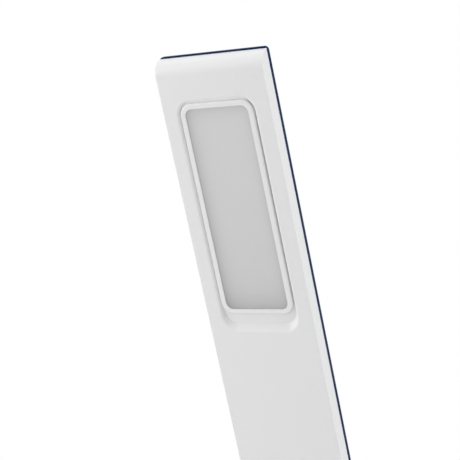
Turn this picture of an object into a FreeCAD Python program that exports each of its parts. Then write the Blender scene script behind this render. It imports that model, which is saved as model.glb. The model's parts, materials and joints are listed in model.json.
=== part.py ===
import FreeCAD, Part
import math
import os
from types import SimpleNamespace

import Sketcher
from FreeCAD import Placement, Rotation, Vector

# LED table lamp: a flat bar arm with a light panel in its front face, tilting on a friction hinge
# at the rear of a weighted base that carries a push button and a power socket.
# Millimetres, +Z up, front towards -Y, origin under the middle of the base on the table.

SIZES = {
    # Arm bar, measured from the hinge axis along the bar and inwards from its front face.
    "arm_length": 329.7,
    "arm_width": 60.0,
    "arm_tilt": 21.87,
    "shell_depth": 7.05,
    "shell_wall": 2.0,
    "shell_edge_round": 0.4,
    "nose_radius": 7.2,
    "barrel_radius": 9.0,
    "ramp_height": 20.0,
    # Back cover of the arm.
    "cover_thickness": 1.85,
    "cover_overhang": 0.8,
    "cover_corner": 1.2,
    "cover_edge_round": 0.25,
    "cover_lip_width": 1.0,
    "cover_lip_height": 1.2,
    "cover_clearance": 0.15,
    "snap_length": 8.0,
    "snap_height": 0.6,
    "snap_reach": 0.4,
    "snap_inset": 30.0,
    "snap_count": 4,
    # Scooped pocket in the front face, from the top end of the bar downwards.
    "pocket_top": 20.8,
    "pocket_depth": 1.8,
    "pocket_corner": 8.0,
    "pocket_rim_round": 1.6,
    "pocket_floor_wall": 2.7,
    "draft_top": 0.05,
    "draft_side": 0.7,
    "draft_foot": 4.35,
    "floor_apron": 5.4,
    # Bezel and light panel.
    "lens_width": 36.2,
    "lens_length": 102.3,
    "lens_thickness": 1.0,
    "lens_recess": 0.8,
    "lens_clearance": 0.1,
    "bezel_bar": 2.3,
    "bezel_top_bar": 2.4,
    "bezel_foot_bar": 2.5,
    "bezel_corner": 6.4,
    "bezel_gap": 0.4,
    "bezel_top_gap": 0.95,
    "bezel_flange_reach": 0.9,
    "bezel_flange_depth": 0.9,
    "bezel_proud": 0.5,
    "bezel_outer_round": 1.1,
    "bezel_inner_round": 0.75,
    "ledge_width": 1.0,
    "skirt_wall": 0.8,
    "skirt_depth": 0.5,
    "skirt_clearance": 0.15,
    # Light sources behind the panel.
    "board_thickness": 0.8,
    "board_side_gap": 1.0,
    "board_lap": 6.0,
    "board_screw_inset": 3.5,
    "chip_width": 2.8,
    "chip_length": 3.5,
    "chip_height": 0.7,
    "chip_columns": 4,
    "chip_rows": 8,
    "sheet_thickness": 0.3,
    "sheet_clearance": 0.2,
    # Inner room of the arm.
    "room_top": 12.0,
    "room_low": 24.0,
    "room_step": 4.0,
    "stiffener_width": 34.0,
    "stiffener_thickness": 1.2,
    "stiffener_end_gap": 3.0,
    "stiffener_boss_radius": 3.0,
    "stiffener_boss_height": 1.0,
    "stiffener_screw_inset": 8.0,
    "stiffener_screw_spread": 22.0,
    "stiffener_screw_length": 2.6,
    "small_screw_radius": 1.0,
    "small_screw_head_radius": 1.9,
    "small_screw_head_height": 0.7,
    "small_screw_length": 2.8,
    "thread_clearance": 0.03,
    "hole_clearance": 0.2,
    "lead_width": 2.8,
    "lead_thickness": 1.4,
    "lead_clearance": 0.3,
    # Hinge.
    "axle_radius": 4.0,
    "axle_bore": 2.5,
    "axle_running_gap": 0.03,
    "axle_head_radius": 6.5,
    "axle_head_height": 2.8,
    "axle_slot_length": 10.0,
    "axle_slot_width": 4.0,
    "bush_radius": 5.5,
    "bush_length": 14.0,
    "bush_flange_radius": 7.4,
    "bush_flange_thickness": 1.0,
    "bush_fit": 0.02,
    "ear_gap": 1.0,
    "ear_spare": 0.6,
    "ear_radius": 11.0,
    "ear_foot_round": 1.5,
    "fold_gap": 1.6,
    "hinge_setback": 24.5,
    "washer_thickness": 0.7,
    "washer_radius": 7.4,
    "tab_inset": 3.0,
    "tab_thickness": 2.0,
    "tab_radius": 9.0,
    "tab_clearance": 0.2,
    "tab_bend": 1.5,
    "flange_depth": 21.0,
    "spring_washer_radius": 7.2,
    "spring_washer_thickness": 0.7,
    "spring_washer_rise": 0.5,
    "spring_washer_gap": 0.05,
    "nut_flats": 13.0,
    "nut_thickness": 2.2,
    "cap_radius": 8.8,
    "cap_thickness": 0.9,
    "cap_dome": 0.6,
    "cap_clearance": 0.15,
    "hardware_radius": 8.0,
    # Base.
    "base_width": 120.0,
    "base_depth": 165.0,
    "base_height": 20.0,
    "base_corner": 14.0,
    "base_edge_round": 5.0,
    "base_wall": 2.2,
    "base_top_wall": 2.4,
    "bottom_wall": 2.4,
    "bottom_edge_round": 0.5,
    "rim_width": 1.4,
    "rim_height": 3.0,
    "rim_clearance": 0.15,
    "foot_radius": 6.0,
    "foot_drop": 1.6,
    "foot_recess": 1.0,
    "foot_edge_round": 0.6,
    "foot_clearance": 0.1,
    "boss_inset": 10.5,
    "boss_radius": 3.5,
    "cup_radius": 5.0,
    "cup_height": 4.0,
    "cup_web": 1.6,
    "base_screw_radius": 1.4,
    "base_screw_head_radius": 2.6,
    "base_screw_head_height": 1.6,
    "base_screw_length": 9.0,
    "ballast_width": 92.0,
    "ballast_thickness": 4.5,
    "ballast_corner": 6.0,
    "ballast_rear_gap": 16.5,
    "ballast_depth": 90.0,
    "ballast_screw_radius": 2.0,
    "ballast_screw_head_radius": 3.6,
    "ballast_screw_spread": 48.0,
    "ballast_screw_pitch": 9.0,
    # Control board, switch and button.
    "control_width": 60.0,
    "control_depth": 34.0,
    "control_thickness": 1.6,
    "standoff_height": 2.0,
    "standoff_radius": 2.6,
    "control_screw_inset": 3.5,
    "button_setback": 30.5,
    "button_radius": 8.0,
    "button_gap": 0.3,
    "button_proud": 0.8,
    "button_dish": 0.5,
    "button_edge_round": 0.5,
    "button_flange": 1.6,
    "button_flange_thickness": 1.2,
    "button_play": 0.2,
    "button_stem_radius": 2.5,
    "button_travel": 1.2,
    "switch_width": 8.0,
    "switch_height": 4.4,
    "plunger_radius": 1.6,
    "plunger_gap": 0.06,
    "plunger_depth": 1.4,
    "connector_width": 8.0,
    "connector_depth": 7.0,
    "connector_height": 6.0,
    "connector_spread": 16.0,
    # Power socket and the leads in the base.
    "socket_width": 10.0,
    "socket_height": 10.5,
    "socket_body_depth": 11.8,
    "socket_nose_radius": 4.8,
    "socket_hole_radius": 3.2,
    "socket_hole_depth": 9.5,
    "socket_pin_radius": 1.05,
    "socket_pin_gap": 1.5,
    "socket_clearance": 0.15,
    "power_lead_radius": 1.2,
    "hinge_lead_radius": 0.7,
    "lead_rest_gap": 0.05,
}

TOLERANCE = 0.001

document = FreeCAD.newDocument("led_table_lamp")
pieces = []


class Size:
    """A number together with the spreadsheet expression that gives it."""

    def __init__(self, value, text):
        self.value = float(value)
        self.text = text

    @staticmethod
    def of(item):
        return item if isinstance(item, Size) else Size(item, repr(float(item)))

    def __add__(self, other):
        other = Size.of(other)
        return Size(self.value + other.value, f"({self.text} + {other.text})")

    def __radd__(self, other):
        return Size.of(other) + self

    def __sub__(self, other):
        other = Size.of(other)
        return Size(self.value - other.value, f"({self.text} - {other.text})")

    def __rsub__(self, other):
        return Size.of(other) - self

    def __mul__(self, other):
        other = Size.of(other)
        return Size(self.value * other.value, f"({self.text} * {other.text})")

    def __rmul__(self, other):
        return Size.of(other) * self

    def __truediv__(self, other):
        other = Size.of(other)
        return Size(self.value / other.value, f"({self.text} / {other.text})")

    def __neg__(self):
        return Size(-self.value, f"(-1 * {self.text})")

    def root(self):
        return Size(math.sqrt(self.value), f"sqrt({self.text})")


def fill_sheet():
    """Writes the driving dimensions into the spreadsheet and returns them as named sizes."""
    sheet = document.addObject("Spreadsheet::Sheet", "Sizes")
    for row, (name, value) in enumerate(SIZES.items(), start=1):
        sheet.set(f"A{row}", name)
        sheet.set(f"B{row}", str(value))
        sheet.setAlias(f"B{row}", name)
    document.recompute()
    return SimpleNamespace(**{name: Size(sheet.get(name), f"Sizes.{name}") for name in SIZES})


S = fill_sheet()


# Drawing and feature helpers

def bind(item, path, size):
    item.setExpression(path, Size.of(size).text)


def new_body(label):
    body = document.addObject("PartDesign::Body", label)
    body.Label = label
    pieces.append(body)
    return body


def new_sketch(body, name, plane, offset=0.0):
    """Makes a sketch on one of the body's origin planes, moved along the plane's normal."""
    sketch = body.newObject("Sketcher::SketchObject", name)
    support = next(item for item in body.Origin.OriginFeatures if item.Role == plane)
    sketch.AttachmentSupport = (support, [""])
    sketch.MapMode = "FlatFace"
    bind(sketch, "AttachmentOffset.Base.z", offset)
    return sketch


def flat(point):
    return Vector(Size.of(point[0]).value, Size.of(point[1]).value, 0)


def add_constraints(sketch, rows):
    """Adds constraints in one go; a row that ends with a size is bound to the sheet."""
    constraints = []
    for row in rows:
        last = row[-1].value if isinstance(row[-1], Size) else row[-1]
        constraints.append(Sketcher.Constraint(*row[:-1], last))
    first = sketch.ConstraintCount
    sketch.addConstraint(constraints)
    for number, row in enumerate(rows, start=first):
        if isinstance(row[-1], Size):
            sketch.setExpression(f"Constraints[{number}]", row[-1].text)


def point_rows(index, end, point):
    """Returns the constraint rows that hold a point at its distances from the sketch's origin."""
    return [
        ("DistanceX", -1, 1, index, end, Size.of(point[0])),
        ("DistanceY", -1, 1, index, end, Size.of(point[1])),
    ]


def line_to(u, v):
    return SimpleNamespace(point=(u, v), radius=None)


def arc_to(u, v, radius, centre, turn):
    """A step along an arc to a point; turn is 1 for anticlockwise and -1 for clockwise."""
    return SimpleNamespace(point=(u, v), radius=radius, centre=centre, turn=turn)


def arc_piece(start, step):
    """Returns the arc of a step, with the numbers of its own start and end points."""
    centre = flat(step.centre)
    angles = []
    for point in (start, step.point):
        spoke = flat(point) - centre
        angles.append(math.atan2(spoke.y, spoke.x))
    if step.turn < 0:
        angles.reverse()
    if angles[1] <= angles[0]:
        angles[1] += 2 * math.pi
    circle = Part.Circle(centre, Vector(0, 0, 1), Size.of(step.radius).value)
    ends = (1, 2) if step.turn > 0 else (2, 1)
    return Part.ArcOfCircle(circle, angles[0], angles[1]), ends


def curve_row(index, start, step):
    """Returns the row that sets an arc's size: its radius or, on a half turn, its centre."""
    chord = flat(step.point) - flat(start)
    radius = Size.of(step.radius)
    if not near(chord.Length, 2 * radius):
        return ("Radius", index, radius)
    if abs(chord.x) < abs(chord.y):
        return ("DistanceX", -1, 1, index, 3, Size.of(step.centre[0]))
    return ("DistanceY", -1, 1, index, 3, Size.of(step.centre[1]))


def draw_outline(sketch, start, steps):
    """Draws a closed outline of lines and arcs, with every corner and radius bound to the sheet."""
    drawn = []
    rows = []
    point = start
    for step in steps:
        if step.radius is None:
            piece, ends = Part.LineSegment(flat(point), flat(step.point)), (1, 2)
        else:
            piece, ends = arc_piece(point, step)
        index = sketch.addGeometry(piece, False)
        drawn.append((index, ends))
        rows += point_rows(index, ends[0], point)
        if step.radius is not None:
            rows.append(curve_row(index, point, step))
        point = step.point
    for here, after in zip(drawn, drawn[1:] + drawn[:1]):
        rows.append(("Coincident", here[0], here[1][1], after[0], after[1][0]))
    add_constraints(sketch, rows)


def draw_rectangle(sketch, left, right, low, high):
    steps = [line_to(right, low), line_to(right, high), line_to(left, high), line_to(left, low)]
    draw_outline(sketch, (left, low), steps)


def draw_rounded_rectangle(sketch, left, right, low, high, corner):
    steps = [
        line_to(right - corner, low),
        arc_to(right, low + corner, corner, (right - corner, low + corner), 1),
        line_to(right, high - corner),
        arc_to(right - corner, high, corner, (right - corner, high - corner), 1),
        line_to(left + corner, high),
        arc_to(left, high - corner, corner, (left + corner, high - corner), 1),
        line_to(left, low + corner),
        arc_to(left + corner, low, corner, (left + corner, low + corner), 1),
    ]
    draw_outline(sketch, (left + corner, low), steps)


def draw_arch(sketch, middle, low, centre_height, radius):
    """Draws an upright slab outline with a half-round top."""
    steps = [
        line_to(middle + radius, centre_height),
        arc_to(middle - radius, centre_height, radius, (middle, centre_height), 1),
        line_to(middle - radius, low),
        line_to(middle + radius, low),
    ]
    draw_outline(sketch, (middle + radius, low), steps)


def draw_circle(sketch, centre, radius):
    circle = Part.Circle(flat(centre), Vector(0, 0, 1), Size.of(radius).value)
    index = sketch.addGeometry(circle, False)
    add_constraints(sketch, point_rows(index, 3, centre) + [("Radius", index, Size.of(radius))])


def pad(body, sketch, length, both=False, back=False):
    """Adds material along the sketch's normal, or against it, or evenly to both sides."""
    feature = body.newObject("PartDesign::Pad", f"{sketch.Name}_pad")
    feature.Profile = sketch
    feature.SideType = "Symmetric" if both else "One side"
    feature.Reversed = back
    bind(feature, "Length", length)
    return feature


def pocket(body, sketch, length, both=False, ahead=False):
    """Cuts against the sketch's normal, or along it, or evenly to both sides."""
    feature = body.newObject("PartDesign::Pocket", f"{sketch.Name}_pocket")
    feature.Profile = sketch
    feature.SideType = "Symmetric" if both else "One side"
    feature.Reversed = ahead
    bind(feature, "Length", length)
    return feature


def revolve(body, sketch, axis):
    feature = body.newObject("PartDesign::Revolution", f"{sketch.Name}_turn")
    feature.Profile = sketch
    feature.ReferenceAxis = (sketch, [axis])
    feature.Angle = 360
    return feature


def soften(body, base, radius, wanted):
    """Rounds the edges of the last feature that the wanted test picks."""
    document.recompute()
    names = [f"Edge{number}" for number, edge in enumerate(base.Shape.Edges, start=1) if wanted(edge)]
    feature = body.newObject("PartDesign::Fillet", f"{base.Name}_round")
    feature.Base = (base, names)
    bind(feature, "Radius", radius)
    return feature


def near(value, size):
    return abs(value - Size.of(size).value) < TOLERANCE


def lies_on(edge, axis, size):
    """Says whether a whole edge lies in the plane where the given coordinate has this value."""
    box = edge.BoundBox
    return near(getattr(box, f"{axis}Min"), size) and near(getattr(box, f"{axis}Max"), size)


def within(edge, half_width, low, high):
    """Says whether an edge lies inside an upright frame that is centred across the arm."""
    box = edge.BoundBox
    across = max(-box.XMin, box.XMax) < half_width.value + TOLERANCE
    return across and box.ZMin > low.value - TOLERANCE and box.ZMax < high.value + TOLERANCE


def primitive(kind, name, place, **sizes):
    """Makes a solid primitive with its sizes and its corner or centre bound to the sheet."""
    item = document.addObject(f"Part::{kind}", name)
    for path, size in sizes.items():
        bind(item, path, size)
    for axis, size in zip("xyz", place):
        bind(item, f"Placement.Base.{axis}", size)
    return item


def group(label, items):
    compound = document.addObject("Part::Compound", label)
    compound.Label = label
    compound.Links = items
    pieces.append(compound)
    return compound


def centred_box(name, middle, low, width, depth, height):
    place = (middle[0] - width / 2, middle[1] - depth / 2, low)
    return primitive("Box", name, place, Length=width, Width=depth, Height=height)


# Places shared by several pieces

half_arm = S.arm_width / 2
front = -S.barrel_radius
parting = front + S.shell_depth
hinge_y = S.base_depth / 2 - S.hinge_setback
hinge_z = S.base_height + S.fold_gap + S.barrel_radius

pocket_high = S.arm_length - S.pocket_top
bezel_high = pocket_high - S.draft_top - S.bezel_top_gap
lens_high = bezel_high - S.bezel_top_bar
lens_low = lens_high - S.lens_length
bezel_low = lens_low - S.bezel_foot_bar
floor_low = bezel_low - S.floor_apron
pocket_low = floor_low - S.draft_foot
half_lens = S.lens_width / 2
half_bezel = half_lens + S.bezel_bar
half_floor = half_bezel + S.bezel_gap
half_pocket = half_floor + S.draft_side
window_edge = S.skirt_wall + S.skirt_clearance - S.ledge_width
half_window = half_lens + window_edge
window_high = lens_high + window_edge
window_low = lens_low - window_edge
window_corner = S.bezel_corner - S.bezel_bar + window_edge
floor_back = S.pocket_depth + S.pocket_floor_wall

half_room = half_arm - S.shell_wall
room_high = S.arm_length - S.room_top
deep_room_high = pocket_low - S.room_step
board_high = window_high + S.board_lap
board_low = window_low - S.board_lap
half_board = half_room - S.board_side_gap
stiffener_low = S.room_low + S.stiffener_end_gap
stiffener_high = deep_room_high - S.stiffener_end_gap
stiffener_front = S.shell_wall + S.stiffener_boss_height
lead_front = front + floor_back
lead_middle = lead_front + S.lead_thickness / 2

ear_inner = half_arm + S.ear_gap
tab_inner = ear_inner + S.tab_inset
tab_outer = tab_inner + S.tab_thickness
hardware_floor = tab_outer + S.tab_clearance
spring_stack = 2 * (S.spring_washer_thickness + S.spring_washer_rise) + 3 * S.spring_washer_gap
axle_end = hardware_floor + spring_stack + S.nut_thickness
ear_outer = axle_end + S.ear_spare + S.cap_thickness

half_base_width = S.base_width / 2
half_base_depth = S.base_depth / 2
base_parting = S.foot_drop + S.bottom_wall
inner_top = S.base_height - S.base_top_wall
boss_x = half_base_width - S.boss_inset
boss_y = half_base_depth - S.boss_inset
cup_top = base_parting + S.cup_height
ballast_top = base_parting + S.ballast_thickness
ballast_high = half_base_depth - S.ballast_rear_gap
ballast_low = ballast_high - S.ballast_depth
flange_top = ballast_top + S.tab_thickness
button_y = S.button_setback - half_base_depth
control_bottom = base_parting + S.standoff_height
control_top = control_bottom + S.control_thickness
half_control_width = S.control_width / 2
half_control_depth = S.control_depth / 2
switch_top = control_top + S.switch_height
socket_rear = half_base_depth - S.base_wall
socket_front = socket_rear - S.socket_body_depth
socket_z = base_parting + S.socket_height / 2 + S.socket_clearance
power_lead_z = flange_top + S.power_lead_radius + S.lead_rest_gap
connector_front = button_y + half_control_depth - S.connector_depth

four_corners = [(x, y) for x in (-1, 1) for y in (-1, 1)]


def on_arm(body):
    """Stands a piece, modelled along the arm, on the hinge axis and leans it forward."""
    body.Placement = Placement(Vector(), Rotation(Vector(1, 0, 0), S.arm_tilt.value))
    bind(body, "Placement.Base.y", hinge_y)
    bind(body, "Placement.Base.z", hinge_z)
    bind(body, "Placement.Rotation.Angle", S.arm_tilt)


def on_hinge(body):
    """Moves a piece, modelled round the X axis, to the hinge axis."""
    bind(body, "Placement.Base.y", hinge_y)
    bind(body, "Placement.Base.z", hinge_z)


def front_sketch(body, name, depth):
    """Makes a sketch across the arm at a depth behind its front face."""
    return new_sketch(body, name, "XZ_Plane", -(front + depth))


def board_screw_places():
    """Returns the places of the light board's screws across and along the arm."""
    x = half_board - S.board_screw_inset
    z_places = (board_high - S.board_screw_inset, board_low + S.board_screw_inset)
    return [(side * x, z) for side in (-1, 1) for z in z_places]


def stiffener_screw_places():
    x = S.stiffener_screw_spread / 2
    inset = S.stiffener_screw_inset
    z_places = (stiffener_low + inset, stiffener_high - inset)
    return [(side * x, z) for side in (-1, 1) for z in z_places]


def snap_places():
    """Returns the low ends of the snaps, spread evenly along the cover."""
    low = S.room_low + S.snap_inset
    pitch = (room_high - S.snap_inset - low - S.snap_length) / (S.snap_count - 1)
    return [low + pitch * number for number in range(int(S.snap_count.value))]


# Arm

def arm_profile(sketch):
    """Draws the side outline of the arm: bar, quarter-round nose, ramp and hinge barrel."""
    radius = S.barrel_radius
    nose_y = front + S.nose_radius
    nose_z = S.arm_length - S.nose_radius
    rise = S.nose_radius - S.shell_depth
    nose_end = nose_z + (S.nose_radius * S.nose_radius - rise * rise).root()
    reach = parting * parting + S.ramp_height * S.ramp_height
    tangent = (reach - radius * radius).root()
    touch_y = radius * (radius * parting + tangent * S.ramp_height) / reach
    touch_z = radius * (radius * S.ramp_height - tangent * parting) / reach
    steps = [
        line_to(front, nose_z),
        arc_to(parting, nose_end, S.nose_radius, (nose_y, nose_z), -1),
        line_to(parting, S.ramp_height),
        line_to(touch_y, touch_z),
        arc_to(front, 0.0, radius, (0.0, 0.0), -1),
    ]
    draw_outline(sketch, (front, 0.0), steps)


def cut_scoop(body):
    """Cuts the light panel's pocket with its sloping walls and softens its rim."""
    rim = front_sketch(body, "scoop_rim", 0.0)
    draw_rounded_rectangle(rim, -half_pocket, half_pocket, pocket_low, pocket_high, S.pocket_corner)
    floor = front_sketch(body, "scoop_floor", S.pocket_depth)
    floor_high = pocket_high - S.draft_top
    floor_corner = S.bezel_corner + S.bezel_gap
    draw_rounded_rectangle(floor, -half_floor, half_floor, floor_low, floor_high, floor_corner)
    scoop = body.newObject("PartDesign::SubtractiveLoft", "scoop")
    scoop.Profile = rim
    scoop.Sections = [floor]
    scoop.Ruled = True

    def on_rim(edge):
        return lies_on(edge, "Y", front) and within(edge, half_pocket, pocket_low, pocket_high)

    soften(body, scoop, S.pocket_rim_round, on_rim)


def hollow_arm(body):
    """Cuts the window, the shallow room of the light board and the deep room below it."""
    window = front_sketch(body, "window", S.pocket_depth)
    draw_rounded_rectangle(window, -half_window, half_window, window_low, window_high, window_corner)
    pocket(body, window, S.pocket_floor_wall)
    board_room = front_sketch(body, "board_room", S.shell_depth)
    draw_rectangle(board_room, -half_room, half_room, S.room_low, room_high)
    pocket(body, board_room, S.shell_depth - floor_back, ahead=True)
    deep_room = front_sketch(body, "deep_room", floor_back)
    draw_rectangle(deep_room, -half_room, half_room, S.room_low, deep_room_high)
    pocket(body, deep_room, floor_back - S.shell_wall, ahead=True)
    snaps = front_sketch(body, "snap_grooves", S.shell_depth - S.cover_lip_height)
    groove = S.snap_reach + S.cover_clearance
    for low in snap_places():
        high = low + S.snap_length + S.cover_clearance
        for side in (-1, 1):
            edges = sorted((half_room * side, (half_room + groove) * side), key=lambda size: size.value)
            draw_rectangle(snaps, edges[0], edges[1], low - S.cover_clearance, high)
    pocket(body, snaps, S.snap_height + 2 * S.cover_clearance)


def make_arm_front_shell():
    body = new_body("arm_front_shell")
    profile = new_sketch(body, "arm_outline", "YZ_Plane")
    arm_profile(profile)
    bar = pad(body, profile, S.arm_width, both=True)

    def on_long_edge(edge):
        side = lies_on(edge, "X", half_arm) or lies_on(edge, "X", -half_arm)
        return side and not lies_on(edge, "Y", parting)

    soften(body, bar, S.shell_edge_round, on_long_edge)
    cut_scoop(body)
    hollow_arm(body)
    bosses = front_sketch(body, "stiffener_bosses", S.shell_wall)
    for place in stiffener_screw_places():
        draw_circle(bosses, place, S.stiffener_boss_radius)
    pad(body, bosses, S.stiffener_boss_height, back=True)
    thread = S.small_screw_radius + S.thread_clearance
    low_pilots = front_sketch(body, "stiffener_pilots", stiffener_front)
    for place in stiffener_screw_places():
        draw_circle(low_pilots, place, thread)
    pocket(body, low_pilots, S.stiffener_screw_length - S.stiffener_thickness, ahead=True)
    pilots = front_sketch(body, "board_pilots", floor_back)
    for place in board_screw_places():
        draw_circle(pilots, place, thread)
    pocket(body, pilots, S.small_screw_length, ahead=True)
    bore = new_sketch(body, "barrel_bore", "YZ_Plane")
    draw_circle(bore, (0.0, 0.0), S.bush_radius + S.bush_fit)
    pocket(body, bore, S.arm_width, both=True)
    for side, name in ((-1, "left_seat"), (1, "right_seat")):
        seat = new_sketch(body, name, "YZ_Plane", half_arm * side)
        draw_circle(seat, (0.0, 0.0), S.bush_flange_radius + S.bush_fit)
        pocket(body, seat, S.bush_flange_thickness, ahead=side < 0)
    passage = new_sketch(body, "lead_passage", "XY_Plane", S.room_low)
    draw_lead_section(passage, S.lead_clearance)
    pocket(body, passage, S.room_low)
    on_arm(body)


def draw_lead_section(sketch, clearance):
    """Draws the round-sided flat section of the twin lead, grown by a clearance."""
    radius = S.lead_thickness / 2 + clearance
    reach = (S.lead_width - S.lead_thickness) / 2
    steps = [
        line_to(reach, lead_middle - radius),
        arc_to(reach, lead_middle + radius, radius, (reach, lead_middle), 1),
        line_to(-reach, lead_middle + radius),
        arc_to(-reach, lead_middle - radius, radius, (-reach, lead_middle), 1),
    ]
    draw_outline(sketch, (-reach, lead_middle - radius), steps)


def make_arm_back_cover():
    body = new_body("arm_back_cover")
    plate = front_sketch(body, "cover_outline", S.shell_depth)
    low = S.ramp_height + S.cover_clearance
    high = S.arm_length + S.cover_overhang
    corner = S.cover_corner
    steps = [
        line_to(half_arm, low),
        line_to(half_arm, high - corner),
        arc_to(half_arm - corner, high, corner, (half_arm - corner, high - corner), 1),
        line_to(corner - half_arm, high),
        arc_to(-half_arm, high - corner, corner, (corner - half_arm, high - corner), 1),
        line_to(-half_arm, low),
    ]
    draw_outline(plate, (-half_arm, low), steps)
    sheet = pad(body, plate, S.cover_thickness, back=True)
    soften(body, sheet, S.cover_edge_round, lambda edge: lies_on(edge, "Y", parting + S.cover_thickness))
    lip = front_sketch(body, "cover_lip", S.shell_depth)
    side = half_room - S.cover_clearance
    lip_low = S.room_low + S.cover_clearance
    lip_high = room_high - S.cover_clearance
    width = S.cover_lip_width
    draw_rectangle(lip, -side, side, lip_low, lip_high)
    draw_rectangle(lip, width - side, side - width, lip_low + width, lip_high - width)
    pad(body, lip, S.cover_lip_height)
    notch = front_sketch(body, "lip_notch", S.shell_depth)
    half_notch = S.lead_width / 2 + S.lead_clearance
    draw_rectangle(notch, -half_notch, half_notch, lip_low, lip_low + width)
    pocket(body, notch, S.cover_lip_height, ahead=True)
    snaps = front_sketch(body, "cover_snaps", S.shell_depth - S.cover_lip_height)
    for place in snap_places():
        for turn in (-1, 1):
            edges = sorted(((side - width) * turn, (side + S.snap_reach) * turn), key=lambda size: size.value)
            draw_rectangle(snaps, edges[0], edges[1], place, place + S.snap_length)
    pad(body, snaps, S.snap_height, back=True)
    on_arm(body)


def make_lens_bezel():
    body = new_body("lens_bezel")
    foot = front_sketch(body, "bezel_outline", S.pocket_depth)
    draw_rounded_rectangle(foot, -half_bezel, half_bezel, bezel_low, bezel_high, S.bezel_corner)
    block = pad(body, foot, S.pocket_depth + S.bezel_proud)
    top = front - S.bezel_proud
    soften(body, block, S.bezel_outer_round, lambda edge: lies_on(edge, "Y", top))
    flange = front_sketch(body, "bezel_flange", S.pocket_depth)
    flange_high = bezel_high + S.bezel_flange_reach
    draw_rounded_rectangle(flange, -half_bezel, half_bezel, bezel_low, flange_high, S.bezel_corner)
    pad(body, flange, S.pocket_depth - S.bezel_flange_depth)
    opening = front_sketch(body, "bezel_opening", -S.bezel_proud)
    corner = S.bezel_corner - S.bezel_bar
    draw_rounded_rectangle(opening, -half_lens, half_lens, lens_low, lens_high, corner)
    recess = pocket(body, opening, S.lens_recess + S.lens_thickness)

    def on_inner_rim(edge):
        return lies_on(edge, "Y", top) and within(edge, half_lens, lens_low, lens_high)

    soften(body, recess, S.bezel_inner_round, on_inner_rim)
    skirt = front_sketch(body, "bezel_skirt", S.pocket_depth)
    inset = S.skirt_clearance
    corner = window_corner - inset
    draw_rounded_rectangle(
        skirt, inset - half_window, half_window - inset, window_low + inset, window_high - inset, corner
    )
    pad(body, skirt, S.skirt_depth, back=True)
    light = front_sketch(body, "bezel_light_hole", -S.bezel_proud)
    ledge = S.ledge_width
    corner = S.bezel_corner - S.bezel_bar - ledge
    draw_rounded_rectangle(
        light, ledge - half_lens, half_lens - ledge, lens_low + ledge, lens_high - ledge, corner
    )
    pocket(body, light, S.pocket_depth + S.bezel_proud + S.skirt_depth)
    on_arm(body)


def make_diffuser():
    body = new_body("diffuser")
    back = S.lens_recess + S.lens_thickness - S.bezel_proud
    outline = front_sketch(body, "diffuser_outline", back)
    gap = S.lens_clearance
    corner = S.bezel_corner - S.bezel_bar - gap
    draw_rounded_rectangle(outline, gap - half_lens, half_lens - gap, lens_low + gap, lens_high - gap, corner)
    pad(body, outline, S.lens_thickness)
    on_arm(body)


def make_led_board():
    body = new_body("led_board")
    outline = front_sketch(body, "led_board_outline", floor_back)
    draw_rectangle(outline, -half_board, half_board, board_low, board_high)
    for place in board_screw_places():
        draw_circle(outline, place, S.small_screw_radius + S.hole_clearance)
    pad(body, outline, S.board_thickness, back=True)
    on_arm(body)


def chip_places():
    """Returns the middle of each light source, evenly spread over the window."""
    columns = int(S.chip_columns.value)
    rows = int(S.chip_rows.value)
    across = 2 * half_window / S.chip_columns
    along = (window_high - window_low) / S.chip_rows
    return [
        (across * (column + 0.5) - half_window, window_low + along * (row + 0.5))
        for column in range(columns)
        for row in range(rows)
    ]


def make_led_chips():
    chips = []
    for number, (x, z) in enumerate(chip_places()):
        place = (x - S.chip_width / 2, lead_front - S.chip_height, z - S.chip_length / 2)
        sizes = {"Length": S.chip_width, "Width": S.chip_height, "Height": S.chip_length}
        chips.append(primitive("Box", f"led_chip_{number}", place, **sizes))
    on_arm(group("led_chips", chips))


def make_reflector_sheet():
    body = new_body("reflector_sheet")
    outline = front_sketch(body, "reflector_outline", floor_back)
    gap = S.sheet_clearance
    corner = window_corner - gap
    low, high = window_low + gap, window_high - gap
    draw_rounded_rectangle(outline, gap - half_window, half_window - gap, low, high, corner)
    half_width = S.chip_width / 2 + gap
    half_length = S.chip_length / 2 + gap
    for x, z in chip_places():
        draw_rectangle(outline, x - half_width, x + half_width, z - half_length, z + half_length)
    pad(body, outline, S.sheet_thickness)
    on_arm(body)


def screw(name, place, shank_length):
    """Makes a small pan-head screw pointing to -Y, with the underside of its head at the place."""
    head = primitive("Cylinder", f"{name}_head", (0, 0, 0), Radius=S.small_screw_head_radius,
                     Height=S.small_screw_head_height)
    shank_place = (0, 0, -shank_length)
    shank = primitive("Cylinder", f"{name}_shank", shank_place, Radius=S.small_screw_radius,
                      Height=shank_length)
    whole = document.addObject("Part::Fuse", name)
    whole.Base = head
    whole.Tool = shank
    whole.Placement = Placement(Vector(), Rotation(Vector(1, 0, 0), -90))
    for axis, size in zip("xyz", place):
        bind(whole, f"Placement.Base.{axis}", size)
    return whole


def make_arm_screws():
    back = lead_front + S.board_thickness
    length = S.board_thickness + S.small_screw_length
    screws = [
        screw(f"led_board_screw_{number}", (x, back, z), length - S.thread_clearance)
        for number, (x, z) in enumerate(board_screw_places())
    ]
    on_arm(group("led_board_screws", screws))
    back = front + stiffener_front + S.stiffener_thickness
    screws = [
        screw(f"stiffener_screw_{number}", (x, back, z), S.stiffener_screw_length - S.thread_clearance)
        for number, (x, z) in enumerate(stiffener_screw_places())
    ]
    on_arm(group("stiffener_screws", screws))


def make_arm_stiffener():
    body = new_body("arm_stiffener")
    outline = front_sketch(body, "stiffener_outline", stiffener_front)
    half_width = S.stiffener_width / 2
    draw_rectangle(outline, -half_width, half_width, stiffener_low, stiffener_high)
    for place in stiffener_screw_places():
        draw_circle(outline, place, S.small_screw_radius + S.hole_clearance)
    pad(body, outline, S.stiffener_thickness, back=True)
    on_arm(body)


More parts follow.
